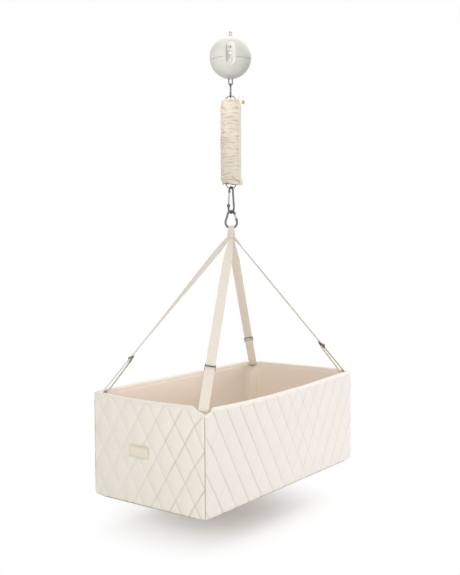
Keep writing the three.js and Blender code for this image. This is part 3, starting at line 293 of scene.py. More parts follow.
def add_rod(shape, radius, low, high, place=None, sides=24, edge=0.0):
    """Adds a round bar along Z between two heights, in millimetres."""
    made = bmesh.ops.create_cone(
        shape, cap_ends=True, segments=sides, radius1=radius * mm, radius2=radius * mm,
        depth=(high - low) * mm, matrix=Matrix.Translation((0, 0, (low + high) / 2 * mm)),
    )["verts"]
    if edge:
        edges = {e for v in made for e in v.link_edges}
        rims = [e for e in edges if abs(e.verts[0].co.z - e.verts[1].co.z) < 1e-7]
        made = made + bevel(shape, rims, edge)
        made = list({v for v in made if v.is_valid})
    if place is not None:
        bmesh.ops.transform(shape, matrix=place, verts=made)
    return shape


def join(shape, other):
    """Adds another shape to a shape."""
    mesh = bpy.data.meshes.new("joined")
    other.to_mesh(mesh)
    shape.from_mesh(mesh)
    other.free()
    bpy.data.meshes.remove(mesh)
    return shape


print("profiles, blocks and rods ready")

# %% [markdown]
# Cloth is never one flat colour. The same small weave serves the quilting, the lining, the
# sleeve and the webbing, so it is one node group: crossed threads for the bump, slubs that
# run along the threads, and a soft mottle of a warmer shade.

# %% Short ways to add nodes
class Net:
    """The nodes of one tree, with short ways to add the common ones."""

    def __init__(self, tree):
        self.tree = tree

    def feed(self, socket, source):
        if isinstance(source, bpy.types.NodeSocket):
            self.tree.links.new(source, socket)
        else:
            socket.default_value = source

    def add(self, kind, feeds=(), **values):
        """Adds a node, sets its values, and links or sets what feeds it."""
        made = self.tree.nodes.new("ShaderNode" + kind)
        for key, value in values.items():
            setattr(made, key, value)
        for socket, source in dict(feeds).items():
            self.feed(made.inputs[socket], source)
        return made

    def calc(self, operation, a, b=0.0):
        return self.add("Math", {0: a, 1: b}, operation=operation).outputs[0]

    def plus(self, a, b):
        return self.calc("ADD", a, b)

    def times(self, a, b):
        return self.calc("MULTIPLY", a, b)

    def mix(self, factor, a, b, blend="MIX"):
        return self.add("Mix", {0: factor, 6: a, 7: b}, data_type="RGBA", blend_type=blend).outputs[2]

    def on_object(self):
        return self.add("TexCoord").outputs["Object"]

    def stretched(self, vector, scale):
        return self.add("Mapping", {0: vector, "Scale": scale}).outputs[0]

    def noise(self, vector, scale, detail=2):
        return self.add("TexNoise", {"Vector": vector, "Scale": scale, "Detail": detail}).outputs[0]

    def ramp(self, value, low, high, at_low, at_high, soft=False):
        feeds = {"Value": value, "From Min": low, "From Max": high, "To Min": at_low, "To Max": at_high}
        way = "SMOOTHSTEP" if soft else "LINEAR"
        return self.add("MapRange", feeds, interpolation_type=way).outputs[0]


def new_group(name, inputs, outputs):
    """A node group's nodes, what it is given, and what it puts out."""
    tree = bpy.data.node_groups.new(name, "ShaderNodeTree")
    for title, value in inputs.items():
        kind = "NodeSocketColor" if isinstance(value, tuple) else "NodeSocketFloat"
        tree.interface.new_socket(title, in_out="INPUT", socket_type=kind).default_value = value
    for title in outputs:
        kind = "NodeSocketColor" if title == "Colour" else "NodeSocketFloat"
        tree.interface.new_socket(title, in_out="OUTPUT", socket_type=kind)
    given, result = tree.nodes.new("NodeGroupInput"), tree.nodes.new("NodeGroupOutput")
    return Net(tree), given.outputs, result.inputs


print("node helpers ready")

# %% A node group for woven cloth
net, given, result = new_group(
    "woven_cloth",
    {"Cloth": (0.9, 0.84, 0.76, 1), "Warm shade": (0.8, 0.7, 0.6, 1), "Threads per metre": 1100.0,
     "Mottle": 0.3},
    ["Colour", "Height"],
)
weave, place = net.tree, net.on_object()
x, y, z = net.add("SeparateXYZ", {0: place}).outputs
pitch = net.times(given["Threads per metre"], math.tau)
warp = net.calc("SINE", net.times(net.plus(x, y), pitch))
weft = net.calc("SINE", net.times(z, pitch))
slub = net.noise(net.stretched(place, (90, 90, 900)), 1, 3)
patchy = net.times(net.noise(place, 14, 4), given["Mottle"])
tinted = net.mix(patchy, given["Cloth"], given["Warm shade"])
fleck = net.times(net.calc("SUBTRACT", slub, 0.5), 0.16)
net.feed(result["Colour"], net.mix(1.0, tinted, net.plus(1.0, fleck), "MULTIPLY"))
net.feed(result["Height"], net.plus(net.times(warp, weft), net.times(slub, 1.5)))
print("woven_cloth has", len(weave.nodes), "nodes")

# %% [markdown]
# Moulded plastic has a fine spark-eroded grain and slow drifts of tone. Plated steel is
# cloudy, with darker stains and scuffs that also change its gloss. Each of these is used by
# several finishes, so each is a group as well.

# %% Node groups for moulded plastic and plated steel
net, given, result = new_group(
    "moulded_grain", {"Body": (0.7, 0.7, 0.65, 1), "Drift": 0.1}, ["Colour", "Roughness", "Height"],
)
grain, place = net.tree, net.on_object()
fine, broad = net.noise(place, 2600, 2), net.noise(place, 18, 3)
drift = net.times(net.calc("SUBTRACT", broad, 0.5), given["Drift"])
net.feed(result["Colour"], net.mix(1.0, given["Body"], net.plus(1.0, drift), "MULTIPLY"))
net.feed(result["Roughness"], net.plus(0.38, net.times(broad, 0.16)))
net.feed(result["Height"], fine)

net, given, result = new_group(
    "plated_steel", {"Metal": (0.3, 0.3, 0.3, 1), "Stain": (0.08, 0.07, 0.06, 1), "Wear": 0.5},
    ["Colour", "Roughness", "Height"],
)
plating, place = net.tree, net.on_object()
cloud = net.noise(place, 160, 5)
scuff = net.noise(net.stretched(place, (1500, 1500, 160)), 1, 3)
stain = net.times(net.calc("POWER", cloud, 2.0), given["Wear"])
net.feed(result["Colour"], net.mix(stain, given["Metal"], given["Stain"]))
net.feed(result["Roughness"], net.plus(0.22, net.times(scuff, 0.25)))
net.feed(result["Height"], scuff)
print("groups", [group.name for group in bpy.data.node_groups])


# %% Build the finishes from the groups
def finish_of(name, group, values, bump, metallic=0.0, roughness=None, sheen=0.0):
    """A material around one node group, with the group's roughness unless one is given."""
    material = bpy.data.materials.new(name)
    material.use_nodes = True
    net, shader = Net(material.node_tree), material.node_tree.nodes["Principled BSDF"].inputs
    shader["Metallic"].default_value = metallic
    if sheen:
        shader["Sheen Weight"].default_value = sheen
        shader["Sheen Roughness"].default_value = 0.5
    made = net.add("Group", values, node_tree=group).outputs
    net.feed(shader["Base Color"], made["Colour"])
    net.feed(shader["Roughness"], made["Roughness"] if roughness is None else roughness)
    raised = net.add("Bump", {"Height": made["Height"], "Strength": 0.5, "Distance": bump})
    net.feed(shader["Normal"], raised.outputs[0])
    return material


def base_colour(material):
    """A material's nodes, its Base Color socket, and what feeds that socket."""
    socket = material.node_tree.nodes["Principled BSDF"].inputs["Base Color"]
    return Net(material.node_tree), socket, socket.links[0].from_socket


def cloth(name, colour, warm, threads=1100, mottle=0.3, deep=None, power=1.0, bump=0.00015):
    """A woven finish, with painted shade mixed in where the piece's depth attribute is low, in its creases
    and grooves.
    """
    values = {
        "Cloth": (*colour, 1), "Warm shade": (*warm, 1), "Threads per metre": threads, "Mottle": mottle,
    }
    material = finish_of(name, weave, values, bump, roughness=0.92, sheen=0.15)
    if deep is not None:
        net, base, flat = base_colour(material)
        depth = net.add("Attribute", attribute_name="depth").outputs["Fac"]
        fold = net.calc("POWER", net.calc("SUBTRACT", 1.0, depth), power)
        # painted shade: the deep colour is mixed in where the depth attribute is low
        net.feed(base, net.mix(fold, flat, (*deep, 1)))
    return material


def quilted(name, colour, rising, falling):
    """Cotton with soft seams on the slant, read from a UV map that counts in diamonds.

    Each slant has two places along the panel and the seams' strength at both. The seams are painted shade
    in the quilting's grooves, over the stitching's own tan, and their strength along the panel follows how
    the light falls there.
    """
    material = cloth(name, colour, [c * w for c, w in zip(colour, (0.95, 0.92, 0.88))], 1400, 0.35)
    net, base, flat = base_colour(material)
    along, up, _ = net.add("SeparateXYZ", {0: net.add("UVMap", uv_map="cloth").outputs[0]}).outputs
    uneven = net.times(net.noise(net.on_object(), 11), 2.0)
    for way, strengths in (("ADD", falling), ("SUBTRACT", rising)):
        near = net.calc("ABSOLUTE", net.calc("SINE", net.times(net.calc(way, along, up), math.pi)))
        seam_shade = net.times(net.ramp(near, 0.0, 0.21, 1.0, 0.0, soft=True), net.ramp(along, *strengths))
        # painted shade: each seam line mixes in a tan-brown, strongest where the light shows the grooves
        flat = net.mix(net.times(seam_shade, uneven), flat, (0.58, 0.475, 0.355, 1))
    net.feed(base, flat)
    return material


def plastic(name, body, drift, bump):
    return finish_of(name, grain, {"Body": (*body, 1), "Drift": drift}, bump)


def metal(name, colour, wear, bump):
    return finish_of(name, plating, {"Metal": (*colour, 1), "Wear": wear}, bump, metallic=1.0)


# The ends and the long sides are one cotton. Their two colours, warmer and lighter on the ends and greyer
# on the sides, are set for how each face is lit: painted light and shade.
short_quilt = quilted(
    "quilted_cotton_ends", (0.90, 0.838, 0.755), (1.4, 5.5, 0.07, 0.58), (2.0, 5.5, 0.04, 0.48))
long_quilt = quilted(
    "quilted_cotton_sides", (0.83, 0.79, 0.74), (3.0, 10.0, 0.12, 0.36), (3.0, 9.5, 0.56, 0.1))
# Darker cotton for the corner welts and the base: painted shade along the corner seams and the basket's
# bottom edge.
seam_shade_cotton = cloth("seam_shade_cotton", (0.52, 0.395, 0.265), (0.44, 0.32, 0.21), 1400, 0.3)
# The binding is a little darker than the end quilting, so that its upward face does not read brighter:
# painted shade.
edge_cotton = cloth("edge_cotton", (0.86, 0.805, 0.73), (0.82, 0.745, 0.65), 1400, 0.3)
# The darker tan that the lining mixes into its corner creases is painted shade.
lining_cotton = cloth(
    "lining_cotton", (0.87, 0.775, 0.67), (0.81, 0.695, 0.575), 1300, 0.4, (0.52, 0.39, 0.27))
webbing = cloth("strap_webbing", (0.80, 0.742, 0.655), (0.73, 0.63, 0.51), 700, 0.4, bump=0.00004)
# The warm brown that the sleeve mixes into its creases is painted shade.
sleeve_cotton = cloth(
    "sleeve_cotton", (0.76, 0.70, 0.60), (0.78, 0.68, 0.53), 1300, 0.45, (0.56, 0.37, 0.19), 1.4)
string_cotton = cloth("string_cotton", (0.90, 0.83, 0.72), (0.80, 0.62, 0.40), 1600, 0.5)
foam = cloth("wall_foam", (0.75, 0.72, 0.66), (0.62, 0.58, 0.5), 500, 0.4)
shell_plastic = plastic("housing_plastic", (0.53, 0.53, 0.485), 0.12, 0.00003)
# The panel's plastic is a little lighter than the housing's; part of that lift makes up for the shade in
# the deep tub, which is painted light.
panel_plastic = plastic("panel_plastic", (0.62, 0.61, 0.55), 0.1, 0.00003)
dark_plastic = plastic("dark_plastic", (0.012, 0.012, 0.012), 0.3, 0.00002)
board_green = plastic("board_green", (0.03, 0.14, 0.06), 0.4, 0.00002)
steel = metal("dull_steel", (0.14, 0.137, 0.132), 0.7, 0.00003)
tube_paint = plastic("sand_tube_paint", (0.56, 0.46, 0.34), 0.2, 0.00002)
bright_steel = metal("bright_steel", (0.36, 0.355, 0.34), 0.35, 0.00002)
print("finishes", len(bpy.data.materials))

# %% [markdown]
# Wood shows long fibres and little else at this size. Only the cord's stopper and the floor
# board under the mattress are wood, so this is one plain material with a stretched noise.

# %% A wood finish
def wood(name, light, dark, scale):
    material = bpy.data.materials.new(name)
    material.use_nodes = True
    net, shader = Net(material.node_tree), material.node_tree.nodes["Principled BSDF"].inputs
    shader["Roughness"].default_value = 0.5
    fibres = net.noise(net.stretched(net.on_object(), (scale * 0.1, scale, scale)), 1, 6)
    net.feed(shader["Base Color"], net.mix(fibres, (*light, 1), (*dark, 1)))
    raised = net.add("Bump", {"Height": fibres, "Strength": 0.3, "Distance": 0.0002})
    net.feed(shader["Normal"], raised.outputs[0])
    return material


stopper_wood = wood("stopper_wood", (0.62, 0.40, 0.20), (0.42, 0.23, 0.09), 600)
birch = wood("floor_birch", (0.66, 0.50, 0.30), (0.50, 0.34, 0.17), 90)
print("woods", stopper_wood.name, birch.name)

# %% [markdown]
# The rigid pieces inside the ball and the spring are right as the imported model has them.
# They only take a better finish in their first material slot.

# %% Dress the CAD pieces that stay
kept = {
    bright_steel: [
        "swivel_nut", "left_housing_screw", "right_housing_screw", "motor_chassis", "drive_motor",
        "winch_drum", "spring_top_plug", "spring_bottom_plug",
    ],
    dark_plastic: ["power_inlet", "gearbox"],
    shell_plastic: ["guide_bush"],
    board_green: ["circuit_board"],
}
for material, names in kept.items():
    for name in names:
        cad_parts[name].data.materials[0] = material
print("kept", sum(len(names) for names in kept.values()))

# %% [markdown]
# The one free cord is the sleeve's drawstring. It rises out of the hem in a small loop,
# runs down through a wooden stopper and ends in a knot. Its route is the CAD's, given as
# millimetres out from the column and up from the sleeve's top.

# %% The drawstring, its stopper and its knot
string_route = [
    (26, 0.3), (26, 3), (26.3, 6), (27, 9.5), (28.8, 13), (31.5, 15.8), (34.5, 16.5),
    (37.7, 15.3), (40.2, 12.2), (41.6, 8.2), (42, 4), (42, 0), (42, -4), (42, -8), (42, -13),
]
string_points = [column @ Vector((u * mm, 0, sleeve_top + z * mm)) for u, z in string_route]
curve = bpy.data.curves.new("drawstring_line", "CURVE")
curve.dimensions = "3D"
spline = curve.splines.new("BEZIER")
spline.bezier_points.add(len(string_points) - 1)
for point, co in zip(spline.bezier_points, string_points):
    point.co = co
    point.handle_left_type = point.handle_right_type = "AUTO"
curve.bevel_depth = 1.4 * mm
curve.bevel_resolution = 4
curve.resolution_u = 6
curve.use_fill_caps = True
drawstring = bpy.data.objects.new("drawstring_cord", curve)
scene.collection.objects.link(drawstring)
curve.materials.append(string_cotton)
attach(drawstring, "spring_head")
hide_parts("drawstring")

stopper_place = column @ Matrix.Translation((42 * mm, 0, sleeve_top))
stopper = finish(
    turned([(1.8, -1.6), (2.4, -1.0), (3.9, -1.2), (5.0, -3), (5.2, -6.5), (5.0, -10), (3.9, -11.8),
            (2.4, -12), (1.8, -11.4), (1.8, -1.6)]),
    "wooden_stopper", stopper_wood, "spring_head", ["cord_stopper"], stopper_place,
)
knot_shape = join(
    wire_ring(5.6 * mm, 2.8 * mm, (0, 0, -15.6 * mm), (0.3, 1, 0.2), (0.2, -0.3, 1), 32, 12),
    wire_ring(5.2 * mm, 2.8 * mm, (0, 0, -17.4 * mm), (1, 0.2, -0.4), (0.4, 0.1, 1), 32, 12),
)
knot = finish(knot_shape, "drawstring_knot", string_cotton, "spring_head", (), stopper_place)
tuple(string_points[0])

# %% [markdown]
# The ceiling eye is a forged ring with a shank. A circle spun about the ring's axis gives
# the ring, and a small turned piece gives the shank and the cap that meets the ball.

# %% The hanging eye
eye = join(
    wire_ring(18 * mm, 4 * mm, level(0, -5), (0, 1, 0), (1, 0, 0)),
    turned([(0, -12), (3, -12.4), (3.4, -14.2), (3, -15.4), (3, -34.9), (0, -34.9)]),
)
finish(eye, "steel_eye", bright_steel, "hanger", ["hanging_eye"])
print("eye done")

# %% [markdown]
# The ball is two moulded shells with a thin seam between them. A sphere is cut at the seam
# with bisect_plane, given its wall, and opened for the control panel and the shaft with
# boolean cutters, which is how a mould maker would think of the core pins.

# %% Cutters for the ball and the panel
def stadium_edges(shape, width, height, depth):
    """A stadium outline facing the front, at a distance in front of the axis."""
    bmesh.ops.create_circle(
        shape, segments=64, radius=width / 2 * mm, cap_ends=False,
        matrix=Matrix.Translation((0, -depth * mm, panel_z)) @ Matrix.Rotation(math.pi / 2, 4, "X"),
    )
    for vert in shape.verts:
        above = vert.co.z - panel_z
        if abs(above) > 1e-6:
            vert.co.z += math.copysign((height - width) / 2 * mm, above)
    sides = [edge for edge in shape.edges if edge.calc_length() > 10 * mm]
    bmesh.ops.subdivide_edges(shape, edges=sides, cuts=15)
    return list(shape.edges)


def facing(z):
    """The matrix that lays a round piece along the panel's axis, at a height of the column."""
    return hung(z=z) @ Matrix.Rotation(math.pi / 2, 4, "X")


def panel_cutter():
    shape = bmesh.new()
    grow(shape, stadium_edges(shape, 34.8, 80.0, 80), lambda co: Vector((co.x, -0.03, co.z)))
    bmesh.ops.holes_fill(shape, edges=shape.edges, sides=0)
    return finish(shape, "cutter", panel_plastic, None, (), column)


def rod_cutter(radius, low, high, place):
    shape = add_rod(bmesh.new(), radius, low, high, place, 40)
    return finish(shape, "cutter", panel_plastic, None)


def cut_out(piece, cutters):
    """Cuts shapes out of a piece with boolean modifiers, and applies them."""
    for cutter in cutters:
        add_modifier(piece, "BOOLEAN", object=cutter, operation="DIFFERENCE", solver="EXACT")
    settle(piece)
    for cutter in cutters:
        bpy.data.objects.remove(cutter)
    piece.data.shade_smooth()


print("outline and cutters ready")


# %% Shells of the ball
def smooth_as_a_ball(mesh):
    """Shades the ball's own faces by its centre, so that the cuts leave no ripples."""
    centre, normals = Vector((0, 0, ball_z)), []
    for polygon in mesh.polygons:
        facing_out = polygon.normal.dot((polygon.center - centre).normalized())
        for index in polygon.vertices:
            radial = (mesh.vertices[index].co - centre).normalized() * math.copysign(1, facing_out)
            normals.append(radial if abs(facing_out) > 0.97 else polygon.normal)
    mesh.normals_split_custom_set(normals)


def shell(name, node_name, edge, way, cutters):
    """Keeps the ball's part on one side of a height, as a wall 3 mm thick."""
    shape = bmesh.new()
    bmesh.ops.create_uvsphere(
        shape, u_segments=96, v_segments=64, radius=ball_radius,
        matrix=Matrix.Translation((0, 0, ball_z)),
    )
    bmesh.ops.bisect_plane(
        shape, geom=shape.verts[:] + shape.edges[:] + shape.faces[:], plane_co=(0, 0, edge),
        plane_no=(0, 0, way), clear_outer=True,
    )
    piece = thicken(finish(shape, name, shell_plastic, None), 3, edge=0.9)
    cut_out(piece, cutters)
    smooth_as_a_ball(piece.data)
    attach(piece, "motor_unit")
    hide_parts(node_name)
    return piece


upper_shell = shell("upper_shell", "upper_housing", seam_z, -1, [
    panel_cutter(), rod_cutter(3.6, -40, 0, hung()), rod_cutter(6.3, -60, -10, hung(0, 33.4)),
])
lower_shell = shell("lower_shell", "lower_housing", seam_z - 0.6 * mm, 1, [
    panel_cutter(), rod_cutter(11.3, -170, -140, hung()),
    rod_cutter(3.3, -170, -120, hung(-32.3, 35.5)), rod_cutter(3.3, -170, -120, hung(32.3, 35.5)),
])
print("shell faces", len(upper_shell.data.polygons), len(lower_shell.data.polygons))

# %% [markdown]
# The control panel is a deep tub with a raised lip that follows the ball. One stadium
# outline is extruded from the outside of the lip over its crown and down to the floor, and
# each new ring of points is set by the ball's own radius or, deep in the tub, by one depth.

# %% The control panel
def on_ball(x, z, out):
    """How far in front of the axis the ball's surface lies, moved out by a step."""
    reach = ball_radius + out * mm
    return -math.sqrt(max(reach**2 - x**2 - (z - ball_z) ** 2, 0.0))


def shrink(co, inset):
    """Moves a point of the stadium towards its spine."""
    spine = 22.6 * mm
    z = min(max(co.z, panel_z - spine), panel_z + spine)
    away = Vector((co.x, 0, co.z - z))
    away *= (away.length - inset * mm) / away.length
    return Vector((away.x, co.y, z + away.z))


def ring_at(inset, out, depth):
    """Says where a ring of points goes: out from the ball, or at a depth if one is given."""
    def place_vert(co):
        co = shrink(co, inset)
        co.y = on_ball(co.x, co.z, out) if depth is None else -depth * mm
        return co
    return place_vert


tub = bmesh.new()
ring = stadium_edges(tub, 34.4, 79.6, 50)
for inset, out, depth in [
    (0, -2, None), (0, -0.2, None), (0.25, 0.55, None), (0.6, 0.85, None), (0.7, 0.75, None),
    (0.4, 0.2, None), (0.2, -0.6, None), (0.1, -2.5, None),
    (0.1, None, 59), (0.5, None, 57.6), (1.3, None, 57),
]:
    ring = grow(tub, ring, ring_at(inset, out, depth))
bmesh.ops.contextual_create(tub, geom=ring)
panel = finish(tub, "panel_tub", panel_plastic, None, (), column, out=False)
for polygon in panel.data.polygons:
    polygon.use_smooth = len(polygon.vertices) == 4

button_heights, lamp_height = {"upper": -80.5, "lower": -105.3}, -62.2
thicken(panel, 1.6)
holes = [(5.9, z) for z in button_heights.values()] + [(2.6, lamp_height)]
cut_out(panel, [rod_cutter(radius, 45, 65, facing(z)) for radius, z in holes])
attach(panel, "motor_unit")
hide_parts("control_panel")
print("panel faces", len(panel.data.polygons))

# %% Buttons and the lamp window
button_profile = [
    (0, 50.8), (2.5, 50.8), (2.5, 53), (7.2, 53), (7.2, 54.2), (5.6, 54.2), (5.6, 57.6),
    (5.35, 58.6), (4.6, 59.5), (3.2, 60.0), (2.0, 59.9), (1.2, 59.7), (0, 59.6),
]
for name, z in button_heights.items():
    finish(
        turned(button_profile), f"{name}_push_button", panel_plastic, f"{name}_button",
        [f"{name}_button"], facing(z),
    )
finish(
    turned([(0, 53), (3.6, 53), (3.6, 54.2), (2.4, 54.2), (2.4, 57.2), (1.9, 57.5), (0, 57.6)], 32),
    "dark_lamp_window", dark_plastic, "motor_unit", ["lamp_window"], facing(lamp_height),
)
print("buttons", list(button_heights))

# %% [markdown]
# Under the ball a U of steel wire carries everything. Its belt runs up to the drum, and it
# stretches when the bail comes down.

# %% Lifting bail and belt
legs_top, leg = -104, 66.3
bail = Wire(2 * mm, level(-6, legs_top), (0, 0, -1), 16)
bail.run(leg * mm).bend(level(0, legs_top - leg), (0, -1, 0), math.pi, 24).run(leg * mm)
bail_shape = add_block(bail.closed(), (-10, -5, -104.5), (10, 5, -94.9), 1.0)
finish(bail_shape, "steel_bail", steel, "bail", ["lifting_bail"], column)

belt_top, belt_foot = -76.2 * mm, -94.5 * mm
belt_shape = sheet_of(
    6, 24, lambda a, b: Vector(((a - 0.5) * 15 * mm, 0, belt_foot + (belt_top - belt_foot) * b)),
)
belt = finish(belt_shape, "woven_lift_belt", dark_plastic, None, ["lift_belt"], column)
thicken(belt, 1.2, 0)
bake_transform(belt)
print("bail and belt done")

# %% [markdown]
# A snap hook is one bar bent through two arcs: a large one below and a small one above,
# joined by straight sides that lean together. The bar is grown with runs and bends. The
# forked end, the pin and the thick nose are blocks and rods that lean with the open side,
# where the gate closes it. Their sizes are shares of the wire's thickness w.

# %% One way to make all three snap hooks
def hook_lines(length, top_width, bottom_width, w):
    """Heights of the two arcs' middles, the sides' lean, and the ends of the open side."""
    top, bottom = (top_width - w) / 2, (bottom_width - w) / 2
    top_z, bottom_z = -w / 2 - top, -length + w / 2 + bottom
    lean = math.asin((bottom - top) / (top_z - bottom_z))
    low = Vector((bottom * math.cos(lean), 0, bottom_z + bottom * math.sin(lean)))
    high = Vector((top * math.cos(lean), 0, top_z + top * math.sin(lean)))
    return top_z, bottom_z, lean, low, high


def snap_hook(name, length, top_width, bottom_width, w, top_z, turn_deg):
    """Body and gate, hung with their top at a height of the column."""
    arc_top, arc_bottom, lean, low, high = hook_lines(length, top_width, bottom_width, w)
    along, side = (high - low).normalized(), (high - low).length
    hinge, nose = low + along * w, low.lerp(high, 0.86)
    bar = Wire(w / 2 * mm, (low + along * w * 0.2) * mm, -along, 20)
    bar.run(w * 0.2 * mm).bend(level(0, arc_bottom), (0, 1, 0), math.pi + 2 * lean, 36)
    bar.run(side * mm).bend(level(0, arc_top), (0, 1, 0), math.pi - 2 * lean, 28)
    body = bar.run(side * 0.14 * mm).closed()
    leaning = Matrix.Rotation(-lean, 4, "Y")
    at_hinge, at_nose = (Matrix.Translation(spot * mm) @ leaning for spot in (hinge, nose))
    across_pin = at_hinge @ Matrix.Rotation(math.pi / 2, 4, "X")
    add_rod(body, w * 0.66, 0, w * 1.1, at_nose, 24, w * 0.12)
    for sign in (-1, 1):
        low_y, high_y = sorted((sign * (w * 0.28 + 0.3), sign * w * 0.65))
        add_block(body, (-w * 0.62, low_y, -w * 1.0), (w * 0.62, high_y, w * 0.42), w * 0.08, at_hinge)
    add_block(body, (-w * 0.62, -w * 0.65, -w * 1.1), (w * 0.62, w * 0.65, -w * 0.62), w * 0.1, at_hinge)
    add_rod(body, w * 0.2, -w * 0.72, w * 0.72, across_pin, 16, w * 0.05)
    hang = hung(z=top_z) @ Matrix.Rotation(math.radians(turn_deg), 4, "Z")
    finish(body, f"{name}_body", steel, name, [name], hang)

    gate = bmesh.new()
    add_rod(gate, w * 0.45, -w * 0.28, w * 0.28, across_pin, 24, w * 0.05)
    add_block(gate, (-w * 0.42, -w * 0.28, 0), (w * 0.42, w * 0.28, w * 1.05), w * 0.06, at_hinge)
    add_rod(gate, w * 0.42, w * 0.85, (nose - hinge).length - 0.3, at_hinge, 24, w * 0.1)
    finish(gate, f"{name}_gate_bar", bright_steel, f"{name.split('_')[0]}_gate", [f"{name}_gate"], hang)


snap_hook("small_hook", 50, 17, 24, 5, -169.0, 90)
snap_hook("upper_hook", 94, 30, 44, 6.5, -514.9, 119)
snap_hook("lower_hook", 66, 30, 46, 7, -595.1, 0)
print("hooks done")

# %% [markdown]
# Inside the sleeve hang two wire rings, a coil spring and a slack safety cord. The coil is
# one circle spun through all its turns while it climbs, which the spin operator does with
# its offset.

# %% Rings, spring and safety cord
for side, body, z in (("top", "spring_head", -229.7), ("bottom", "spring_foot", -505.7)):
    ring_shape = wire_ring(38 * mm, 3 * mm, level(0, z), (0, 1, 0), (1, 0, 0))
    finish(ring_shape, f"{side}_wire_ring", steel, body, [f"spring_{side}_ring"], column)


def stretches(piece):
    """Writes a piece's place into its mesh."""
    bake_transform(piece)


coil = Wire(2 * mm, level(18, -252.2), (0, 1, -0.12), 12)
coil.bend(level(0, -252.2), (0, 0, 1), math.tau * 18, 18 * 28, -230.6 * mm)
spring = finish(coil.closed(), "steel_coil", steel, None, ["coil_spring"], column)
stretches(spring)
cord_wire = Wire(2.5 * mm, level(9, -263.5), (0, 1, -0.8), 12)
cord_wire.bend(level(0, -263.5), (0, 0, 1), math.tau * 5, 150, -208 * mm)
safety = finish(cord_wire.closed(), "safety_rope", webbing, None, ["safety_cord"], column)
stretches(safety)
print("coil faces", len(spring.data.polygons), "safety cord faces", len(safety.data.polygons))

# %% [markdown]
# The sleeve is a long cotton tube pushed up on the spring, so the cloth stands in dozens of
# uneven gathers. They are not rings: each one wanders, forks and fades. A fold pattern that
# runs down the tube is bent by smooth noise, and a seam down one side pulls the folds in.
# The fold's depth is kept as an attribute, so that the finish can paint shade into the creases.

# %% The gathered sleeve
sleeve_height = sleeve_top - sleeve_bottom


def gathers(a, b):
    """Depth of the folds at a place round the sleeve (a) and up it (b), from 0 to 1."""
    x, y = math.cos(a * math.tau), math.sin(a * math.tau)
    place = Vector((x, y, b * 9))
    bend = noise.noise(place * 0.8) * 0.6 + noise.noise(place * 2.1 + Vector((4, 1, 7))) * 0.25
    row = b * 25 + bend + noise.noise(Vector((2.0, 5.0, b * 6))) * 1.3
    wave = abs(math.sin(math.pi * row))
    strength = 0.6 + 0.9 * noise.noise(Vector((x * 1.2 + 3, y * 1.2, round(row) * 5.37)))
    from_strip = (a - 0.88) % 1
    strip = 1 - 0.75 * smooth(0, 0.012, from_strip) * (1 - smooth(0.12, 0.2, from_strip))
    return 1 - min(max(strength, 0.06), 1.0) * strip * (1 - wave**0.8)


def seam_pull(a):
    """How near a place is to the sleeve's long seam, on the camera's right."""
    return bell((a - 0.875 + 0.5) % 1, 0.5, 0.012)


def hem_folds(a, b):
    """The deep fold slanting to the hem at the front right and a small one at the mouth, both with painted
    shade.
    """
    share = (a - 0.755) / 0.14
    inside = smooth(-0.1, 0.1, share) * (1 - smooth(0.9, 1.1, share))
    return inside * bell(b + 0.065 * share, 0.084, 0.008) + bell(a, 0.755, 0.035) * bell(b, 0.982, 0.009)


def sleeve_depth(a, b):
    depth, pull = gathers(a, b), seam_pull(a)
    return max(depth - pull * (0.1 + 0.6 * (1 - depth)), 0) * max(1 - hem_folds(a, b), 0)


def sleeve_point(a, b):
    """A radius that follows the folds, drawn in at both ends, and a ragged, flaring hem."""
    angle = a * math.tau
    x, y = math.cos(angle), math.sin(angle)
    flare = (1 - smooth(0, 0.12, b)) * max(math.cos(angle + 0.35), 0)
    radius = 30.9 + 4.2 * sleeve_depth(a, b) + noise.noise(Vector((x * 0.7, y * 0.7, b * 5))) * 1.4
    radius -= (1 - smooth(0, 0.09, 1 - b)) * 5.5 + (1 - smooth(0, 0.05, b)) * 5.0 - flare * 8.0
    ragged = noise.noise(Vector((x * 2, y * 2, 11 if b < 0.5 else 23))) * 3.5
    hem = ragged * (1 - smooth(0, 0.06, min(b, 1 - b))) - flare * 5.0
    return Vector((x * radius * mm, y * radius * mm, sleeve_bottom + sleeve_height * b + hem * mm))


round_it, up_it = ((96, 330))
sleeve_shape = sheet_of(round_it, up_it, sleeve_point, sleeve_depth, (0.23, 0.6), closed=True)
sleeve_area = sum(face.calc_area() for face in sleeve_shape.faces)
sleeve = finish(sleeve_shape, "gathered_sleeve", sleeve_cotton, None, ["spring_sleeve"], column)
thicken(sleeve, 1.0)
stretches(sleeve)
print("sleeve area", round(sleeve_area, 4), "points", len(sleeve.data.vertices))

# %% [markdown]
# The strap head is a doubled piece of webbing folded over the lower hook's bar. The hook's
# curve gathers it, so it is narrow at the top and opens out below, where the four strap
# ends are sewn between its tails.

# %% The strap head
fold_radius, tail, saddle = 6.7, 18.0, 15.7


def head_point(a, b):
    """a runs over the fold from tail to tail, and b across the width."""
    reach = (a - 0.5) * 2
    side = -1 if reach < 0 else 1
    arc = math.pi / 2 * fold_radius
    s = abs(reach) * (tail + arc)
    if s < arc:
        angle = s / arc * math.pi / 2
        v, z = side * fold_radius * math.sin(angle), fold_radius * math.cos(angle) - 0.6
    else:
        v, z = side * fold_radius, -0.6 - (s - arc)
    share = min(max(1 + z / 20, 0), 1)
    u = (b - 0.5) * 25.5 * (1 - 0.22 * share)
    lift = (saddle - math.sqrt(saddle**2 - min(abs(u), 10) ** 2)) * share
    return Vector((u, v, z + lift + head_bar)) * mm


head_shape = sheet_of(48, 20, head_point, None, (0.05, 0.026))
head = finish(head_shape, "folded_strap_head", webbing, None, ["strap_head_loop"], column)
thicken(head, 4.2, 0, edge=1.0)
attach(head, "cradle")
print("strap head faces", len(head.data.polygons))

# %% [markdown]
# Each strap leaves the head on edge, bends outwards, widens and twists until it lies square
# to the bar at its corner. It goes round that bar, comes back up inside, and ends round the
# slide's lowest bar. The part that the slide carries is a piece of its own, because it has
# to stretch when the slide is moved along the strap.

